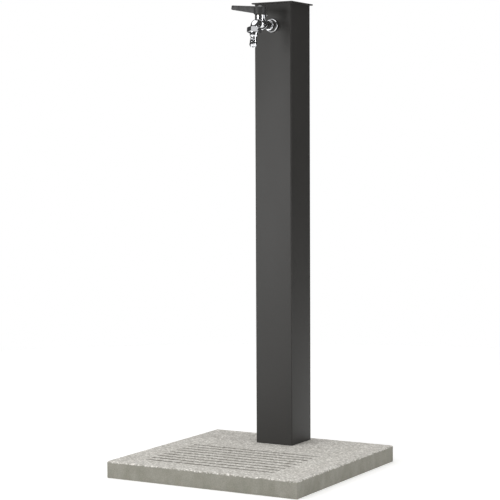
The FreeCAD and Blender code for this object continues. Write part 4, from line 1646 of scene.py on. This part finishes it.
    def stop_lug(self) -> Mesh:
        """The wedge beside the boss and the pin that stops the lever.

        Returns:
            Both as one mesh, in place.
        """
        inner = self.boss_radius - self.stop_root
        outline = [(inner, self.stop_low), (inner + self.stop_foot, self.stop_low),
                   (self.stop_reach, self.stop_shoulder), (self.stop_reach, self.stop_top),
                   (inner, self.stop_top)]
        wedge = prism(outline, -self.stop_half_width, self.stop_half_width)
        wedge.transform(Matrix.Rotation(math.radians(90), 4, "X"))
        pin = lathe(bar_outline(self.pin_radius, self.stop_top - self.pin_root, self.pin_top), 32)
        lug = joined([wedge, moved(pin, Vector((self.pin_place, 0, 0)))])
        lug.transform(Matrix.Rotation(math.radians(self.stop_angle), 4, "Z"))
        return moved(lug, self.places.ball)

    def outlet_collar(self) -> Mesh:
        """The threaded collar on the spout's end, with its thread's ridge.

        Returns:
            Both as one mesh, in place.
        """
        start, end, bore = self.thread_start, self.outlet_end, self.bore_radius
        outer, margin = self.outlet_thread_radius, self.outlet_thread_margin
        core = outer - self.outlet_thread_height
        collar = lathe(eased([(bore, start + 1.0), (self.spout_radius, start + 0.2), (core, start),
                              (core, end), (bore, end)], self.turned_edge), 96)
        length = end - start - 2 * margin
        ridge = ThreadHelix().grow(core, length, length / self.outlet_thread_pitch, outer - core,
                                   Surface.CHROME)
        moved(ridge, Vector((0, 0, start + margin)))
        return moved(joined([collar, ridge]), self.places.outlet, self.places.outlet_axis)


@dataclass
class Lever(SubAssembly):
    """The moulded handle, its cap and what shows of its fixing."""

    hub_radius: float = 15.0
    hub_bottom: float = 22.8
    hub_top: float = 40.5
    hub_edge: float = 2.2
    length: float = 76.0
    rise: float = 7.5
    axis_height: float = 32.3
    root: float = 6.0
    root_height: float = 18.0
    tip_height: float = 10.7
    root_width: float = 22.0
    tip_width: float = 15.0
    tip_round: float = 1.6
    tip_rings: tuple[Point, ...] = ((0.9, 0.95), (1.6, 0.84))
    squareness: float = 5.5
    ring_points: int = 48
    arm_steps: int = 22
    moulding_voxel: float = 0.5
    moulding_passes: int = 9
    drive: float = 6.0
    drive_top: float = 34.0
    drive_bottom: float = 26.6
    skirt_radius: float = 4.6
    screw_seat: float = 36.0
    screw_head_radius: float = 4.5
    screw_radius: float = 2.3
    overshoot: float = 2.0
    well_overshoot: float = 10.0
    pin_place: float = 11.5
    groove_half: float = 2.2
    groove_top: float = 26.2
    stop_angle: float = 30.0
    travel: float = 90.0
    cap_radius: float = 5.75
    cap_rim: float = 1.2
    cap_height: float = 3.5
    cap_plug: float = 1.2
    cap_edge: float = 0.2

    def build(self) -> None:
        """Builds the handle and its cap."""
        self.piece("lever", moved(self.handle(), self.places.ball), Surface.LEVER, "lever",
                   ["lever_handle"], 40.0)
        self.piece("lever_badge", moved(lathe(self.cap(), 64), self.places.ball),
                   Surface.LEVER_CAP, "lever", ["lever_cap"])

    def cross_section(self, distance: float) -> list[Vector]:
        """One ring of the arm, a softened rectangle that tapers towards the tip.

        Args:
            distance: How far along the arm it is.

        Returns:
            The ring's points before the arm is raised.
        """
        t = (distance - self.root) / (self.length - self.root)
        half_w = (self.root_width + (self.tip_width - self.root_width) * t) / 2
        half_h = (self.root_height + (self.tip_height - self.root_height) * t) / 2
        power = 2 / self.squareness
        ring = []
        for k in range(self.ring_points):
            angle = 2 * math.pi * k / self.ring_points
            c, s = math.cos(angle), math.sin(angle)
            ring.append(Vector((-distance, half_w * math.copysign(abs(c) ** power, c),
                                half_h * math.copysign(abs(s) ** power, s))))
        return ring

    def handle(self) -> Mesh:
        """Hub and arm moulded as one, with the drive socket, screw well and stop groove.

        Returns:
            The closed mesh, round the ball's centre.
        """
        bottom, top = self.hub_bottom, self.hub_top
        hub = lathe(eased(bar_outline(self.hub_radius, bottom, top), self.hub_edge, 6), 96)
        straight = self.length - self.tip_round
        rings = [self.cross_section(self.root + (straight - self.root) * k / self.arm_steps)
                 for k in range(self.arm_steps + 1)]
        tip = self.cross_section(self.length)
        for past, scale in self.tip_rings:
            rings.append([Vector((-(straight + past), p.y * scale, p.z * scale)) for p in tip])
        arm = skin(rings)
        arm.transform(Matrix.Translation((0, 0, self.axis_height))
                      @ Matrix.Rotation(math.radians(self.rise), 4, "Y"))
        moulding = cast_together([hub, arm], self.moulding_voxel, self.moulding_passes)
        half, under = self.drive / 2, bottom - self.overshoot
        socket = prism([(-half, -half), (half, -half), (half, half), (-half, half)], under,
                       self.drive_top)
        well = bar_outline(self.screw_head_radius, self.screw_seat, top + self.well_overshoot)
        hole = bar_outline(self.screw_radius, self.drive_top - 1, self.screw_seat + 1)
        skirt = bar_outline(self.skirt_radius, under, self.drive_bottom)
        return cut(moulding, [socket, lathe(well, 48), lathe(hole, 32), lathe(skirt, 48),
                              self.stop_groove()])

    def stop_groove(self) -> Mesh:
        """The curved slot that the stop pin runs in.

        Returns:
            The cutter.
        """
        end, start = self.stop_angle, self.stop_angle - self.travel
        middle, half = self.pin_place, self.groove_half
        outline = arc_points((0, 0), middle + half, start, end, 24)
        for angle, turn in ((end, 0), (start, 180)):
            place = (middle * math.cos(math.radians(angle)), middle * math.sin(math.radians(angle)))
            outline += arc_points(place, half, angle + turn, angle + turn + 180, 12)[1:-1]
            if turn == 0:
                outline += arc_points((0, 0), middle - half, end, start, 24)
        return prism(outline, self.hub_bottom - self.overshoot, self.groove_top)

    def cap(self) -> list[Point]:
        """Outline of the domed cap and its plug.

        Returns:
            Points as (radius, height) over the ball's centre.
        """
        top, radius, edge = self.hub_top, self.cap_radius, self.cap_edge
        low, rim, crown = top - self.cap_plug, top + self.cap_rim, top + self.cap_height
        rise = crown - rim
        sphere = (radius ** 2 + rise ** 2) / (2 * rise)
        start = math.degrees(math.acos(radius / sphere))
        return [(0, low), (self.screw_head_radius, low), (self.screw_head_radius, top),
                (radius - edge, top), (radius, top + edge)] + arc_points(
                    (0, crown - sphere), sphere, start, 90, 10)


@dataclass
class HoseConnector(SubAssembly):
    """Union nut and quick-connect nipple, measured down the outlet axis."""

    nut_flats: float = 30.7
    nut_top: float = 10.5
    nut_bottom: float = 23.0
    nut_lip: float = 2.0
    nut_bore: float = 13.3
    nut_segments: int = 144
    lip_bore: float = 10.1
    lip_chamfer: float = 0.4
    chamfer_inset: float = 0.5
    chamfer_slope: float = 0.5
    side_edge: float = 0.12
    corner_ease: float = 0.35
    washer_end: float = 18.8
    collar_radius: float = 12.0
    collar_end: float = 20.9
    bore: float = 5.5
    body: float = 10.0
    waist: float = 7.3
    rib: float = 8.1
    land: float = 8.5
    groove: float = 6.4
    tip: float = 9.2
    mouth: float = 7.0
    turned_edge: float = 0.45
    o_ring_section: float = 2.4
    stations: dict[str, float] = field(default_factory=lambda: {
        "shoulder": 30.0, "waist": 34.5, "rib": 36.6, "rib_end": 37.8, "waist_end": 39.4,
        "land": 40.6, "groove": 46.4, "groove_end": 48.8, "tip_end": 52.2, "end": 57.0})

    def build(self) -> None:
        """Builds the nut, the nipple and its seal."""
        outlet, axis = self.places.outlet, self.places.outlet_axis
        self.piece("hexagon_nut", moved(self.nut(), outlet, axis), Surface.CHROME, "nut",
                   ["union_nut"], 24.0)
        self.piece("quick_nipple", moved(lathe(self.nipple()), outlet, axis), Surface.CHROME,
                   "connector", ["hose_nipple"])
        middle = (self.stations["groove"] + self.stations["groove_end"]) / 2
        section = self.o_ring_section / 2
        ring = arc_points((self.groove + section, middle), section, 0, 360, 24)[:-1]
        self.piece("nipple_seal", moved(lathe(ring, 72), outlet, axis), Surface.RUBBER,
                   "connector", ["nipple_o_ring"])

    def across(self, angle: float, inset: float) -> float:
        """Distance from the nut's axis to its side, the corners eased.

        Args:
            angle: Angle round the axis, in radians.
            inset: How far inside the side, in millimetres.

        Returns:
            The distance.
        """
        flat = self.nut_flats / 2
        corner = flat / math.cos(math.radians(30))
        turned = math.radians((math.degrees(angle) + 30) % 60 - 30)
        return min((flat - inset) / math.cos(turned), corner - self.corner_ease - inset)

    def section(self, angle: float) -> list[Point]:
        """The nut's section at an angle. A chamfer comes down furthest at the corners.

        Args:
            angle: Angle round the axis, in radians.

        Returns:
            Points as (radius, height), the same number at every angle.
        """
        low, high, edge = self.nut_top, self.nut_bottom, self.side_edge
        face = self.nut_flats / 2 - self.chamfer_inset
        side, eased_side = self.across(angle, 0.0), self.across(angle, edge)
        bevel = max(0.0, side - face) * self.chamfer_slope
        return [(self.nut_bore, low), (face, low), (eased_side, low + bevel),
                (side, low + bevel + edge), (side, high - bevel - edge),
                (eased_side, high - bevel), (face, high), (self.lip_bore + self.lip_chamfer, high),
                (self.lip_bore, high - self.lip_chamfer), (self.lip_bore, high - self.nut_lip),
                (self.nut_bore, high - self.nut_lip)]

    def nut(self) -> Mesh:
        """Hexagon with turned chamfers: each face's end is the arc that a lathe tool leaves.

        Returns:
            The closed mesh, its axis on Z.
        """
        angles = [2 * math.pi * k / self.nut_segments for k in range(self.nut_segments)]
        sections = [[Vector((reach * math.cos(a), reach * math.sin(a), height))
                     for reach, height in self.section(a)] for a in angles]
        return skin(list(zip(*sections)), endless=True)

    def nipple(self) -> list[Point]:
        """Outline of the nipple, from its collar to its open end.

        Returns:
            Points as (radius, height), eased.
        """
        s, start, waist = self.stations, self.washer_end, self.waist
        corners = [(self.bore, start), (self.collar_radius, start),
                   (self.collar_radius, self.collar_end), (self.body, self.collar_end),
                   (self.body, s["shoulder"])]
        for k in range(1, 9):
            t = k / 8
            corners.append((waist + (self.body - waist) * (1 - t) ** 2,
                            s["shoulder"] + (s["waist"] - s["shoulder"]) * t))
        corners += [(waist, s["rib"]), (self.rib, s["rib"]), (self.rib, s["rib_end"]),
                    (waist, s["rib_end"]), (waist, s["waist_end"]), (self.land, s["land"]),
                    (self.land, s["groove"]), (self.groove, s["groove"]),
                    (self.groove, s["groove_end"]), (self.tip, s["groove_end"]),
                    (self.tip, s["tip_end"]), (self.mouth, s["end"]), (self.bore, s["end"])]
        return eased(corners, self.turned_edge)


# ---------------------------------------------------------------- studio
@dataclass(frozen=True)
class Softbox:
    """A rectangular studio light.

    Attributes:
        name: Its name.
        place: Where it stands, in metres.
        target: What it points at, in metres.
        size: Width and height, in metres.
        power: Its power in watts.
        colour: Its tint, as sRGB hex.
    """

    name: str
    place: tuple[float, float, float]
    target: tuple[float, float, float]
    size: tuple[float, float]
    power: float
    colour: str = "#ffffff"

    def build(self) -> None:
        """Puts the light in the scene, unseen by the camera itself."""
        data = bpy.data.lights.new(self.name, "AREA")
        data.shape = "RECTANGLE"
        data.size, data.size_y = self.size
        data.energy = self.power
        data.color = linear(self.colour)[:3]
        lamp = bpy.data.objects.new(self.name, data)
        lamp.location = self.place
        aim = Vector(self.target) - Vector(self.place)
        lamp.rotation_euler = aim.to_track_quat("-Z", "Y").to_euler()
        lamp.visible_camera = False
        bpy.context.scene.collection.objects.link(lamp)


@dataclass
class Studio:
    """Pale floor, soft light and the camera."""

    sensor: float = 36.0
    lens: float = 115.19
    far: float = 200.0
    eye: tuple[float, float, float] = (1.8671, -3.2875, 0.7397)
    yaw: float = -29.69
    pitch: float = -3.26
    roll: float = 0.25
    floor_reach: float = 2.6
    floor_drop: float = 0.0002
    floor_colour: str = "#f4f4f3"
    floor_roughness: float = 0.9
    floor_glow: float = 0.24
    room_light: float = 0.06
    backdrop: float = 1.0
    overhead_strength: float = 2.5
    overhead_spread: float = 90.0
    overhead_aim: tuple[float, float, float] = (0.10, 0.12, -1.0)
    softboxes: tuple[Softbox, ...] = (
        Softbox("left_softbox", (-1.30, -2.13, 0.85), (0.0, 0.125, 0.85), (1.3, 1.1), 24.0),
        Softbox("front_softbox", (1.15, -1.99, 1.90), (-0.013, 0.05, 1.04), (1.0, 0.42), 0.9),
        Softbox("right_strip", (2.2, 0.1, 1.0), (0.0, 0.1, 0.9), (0.35, 1.5), 12.0))

    def build(self) -> None:
        """Builds the studio."""
        self.camera()
        self.floor()
        self.world()
        self.lights()
        bpy.context.scene.view_settings.view_transform = "Standard"

    def camera(self) -> None:
        """Sets the camera at eye height, looking slightly down, a little right of the tap."""
        data = bpy.data.cameras.new("camera")
        data.sensor_width = self.sensor
        data.lens = self.lens
        data.clip_end = self.far
        view = bpy.data.objects.new("camera", data)
        view.location = self.eye
        turn = Matrix.Rotation(math.radians(-self.yaw), 3, "Z")
        tilt = Matrix.Rotation(math.radians(90 + self.pitch), 3, "X")
        bank = Matrix.Rotation(math.radians(-self.roll), 3, "Z")
        view.rotation_mode = "QUATERNION"
        view.rotation_quaternion = (turn @ tilt @ bank).to_quaternion()
        bpy.context.scene.collection.objects.link(view)
        bpy.context.scene.camera = view

    def floor(self) -> None:
        """Lays a large pale floor just under the slab."""
        mesh = bmesh.new()
        bmesh.ops.create_circle(mesh, cap_ends=True, segments=96, radius=self.floor_reach)
        mesh.transform(Matrix.Translation((0, 0, -self.floor_drop)))
        data = bpy.data.meshes.new("studio_floor")
        mesh.to_mesh(data)
        mesh.free()
        material = bpy.data.materials.new("studio_floor_paint")
        material.use_nodes = True
        tree = material.node_tree
        tree.nodes.clear()
        paint = add_node(tree, "ShaderNodeBsdfPrincipled",
                         {"Base Color": linear(self.floor_colour),
                          "Roughness": self.floor_roughness,
                          "Emission Color": linear("#ffffff"),
                          "Emission Strength": self.floor_glow})
        add_node(tree, "ShaderNodeOutputMaterial", {"Surface": paint.outputs["BSDF"]})
        data.materials.append(material)
        ground = bpy.data.objects.new("studio_floor", data)
        bpy.context.scene.collection.objects.link(ground)

    def world(self) -> None:
        """A white backdrop behind the object, and a dimmer room round it for light."""
        world = bpy.data.worlds.new("studio")
        world.use_nodes = True
        tree = world.node_tree
        tree.nodes.clear()
        seen = add_node(tree, "ShaderNodeLightPath").outputs["Is Camera Ray"]
        room, white = [add_node(tree, "ShaderNodeBackground",
                                {"Color": linear("#ffffff"), "Strength": strength})
                       for strength in (self.room_light, self.backdrop)]
        mixed = add_node(tree, "ShaderNodeMixShader", {0: seen, 1: room.outputs["Background"],
                                                       2: white.outputs["Background"]})
        add_node(tree, "ShaderNodeOutputWorld", {"Surface": mixed.outputs["Shader"]})
        bpy.context.scene.world = world

    def lights(self) -> None:
        """A broad light overhead, softboxes to the left and in front, and a strip to the right."""
        data = bpy.data.lights.new("overhead", "SUN")
        data.energy = self.overhead_strength
        data.angle = math.radians(self.overhead_spread)
        lamp = bpy.data.objects.new("overhead", data)
        lamp.rotation_euler = Vector(self.overhead_aim).to_track_quat("-Z", "Y").to_euler()
        bpy.context.scene.collection.objects.link(lamp)
        for box in self.softboxes:
            box.build()


def dress_frame() -> None:
    """Gives every CAD node its slot's finish; those that a piece stands for are hidden later."""
    by_slot = {surface.slot: surface for surface in Surface}
    slots = {part["node"]: part["material_slot"] for part in frame["record"]["subparts"]}
    for name, node in frame["nodes"].items():
        node.data.materials.clear()
        node.data.materials.append(by_slot[slots[name]].material())


def main() -> None:
    """Builds the studio and every sub-assembly in order."""
    logging.basicConfig(level=logging.INFO, format="%(name)s %(message)s")
    Studio().build()
    dress_frame()
    places = Places()
    for assembly in (Slab, Column, Tap, Lever, HoseConnector):
        LOG.info("building %s", assembly.__name__)
        assembly(places).build()


if __name__ == "__main__":
    main()
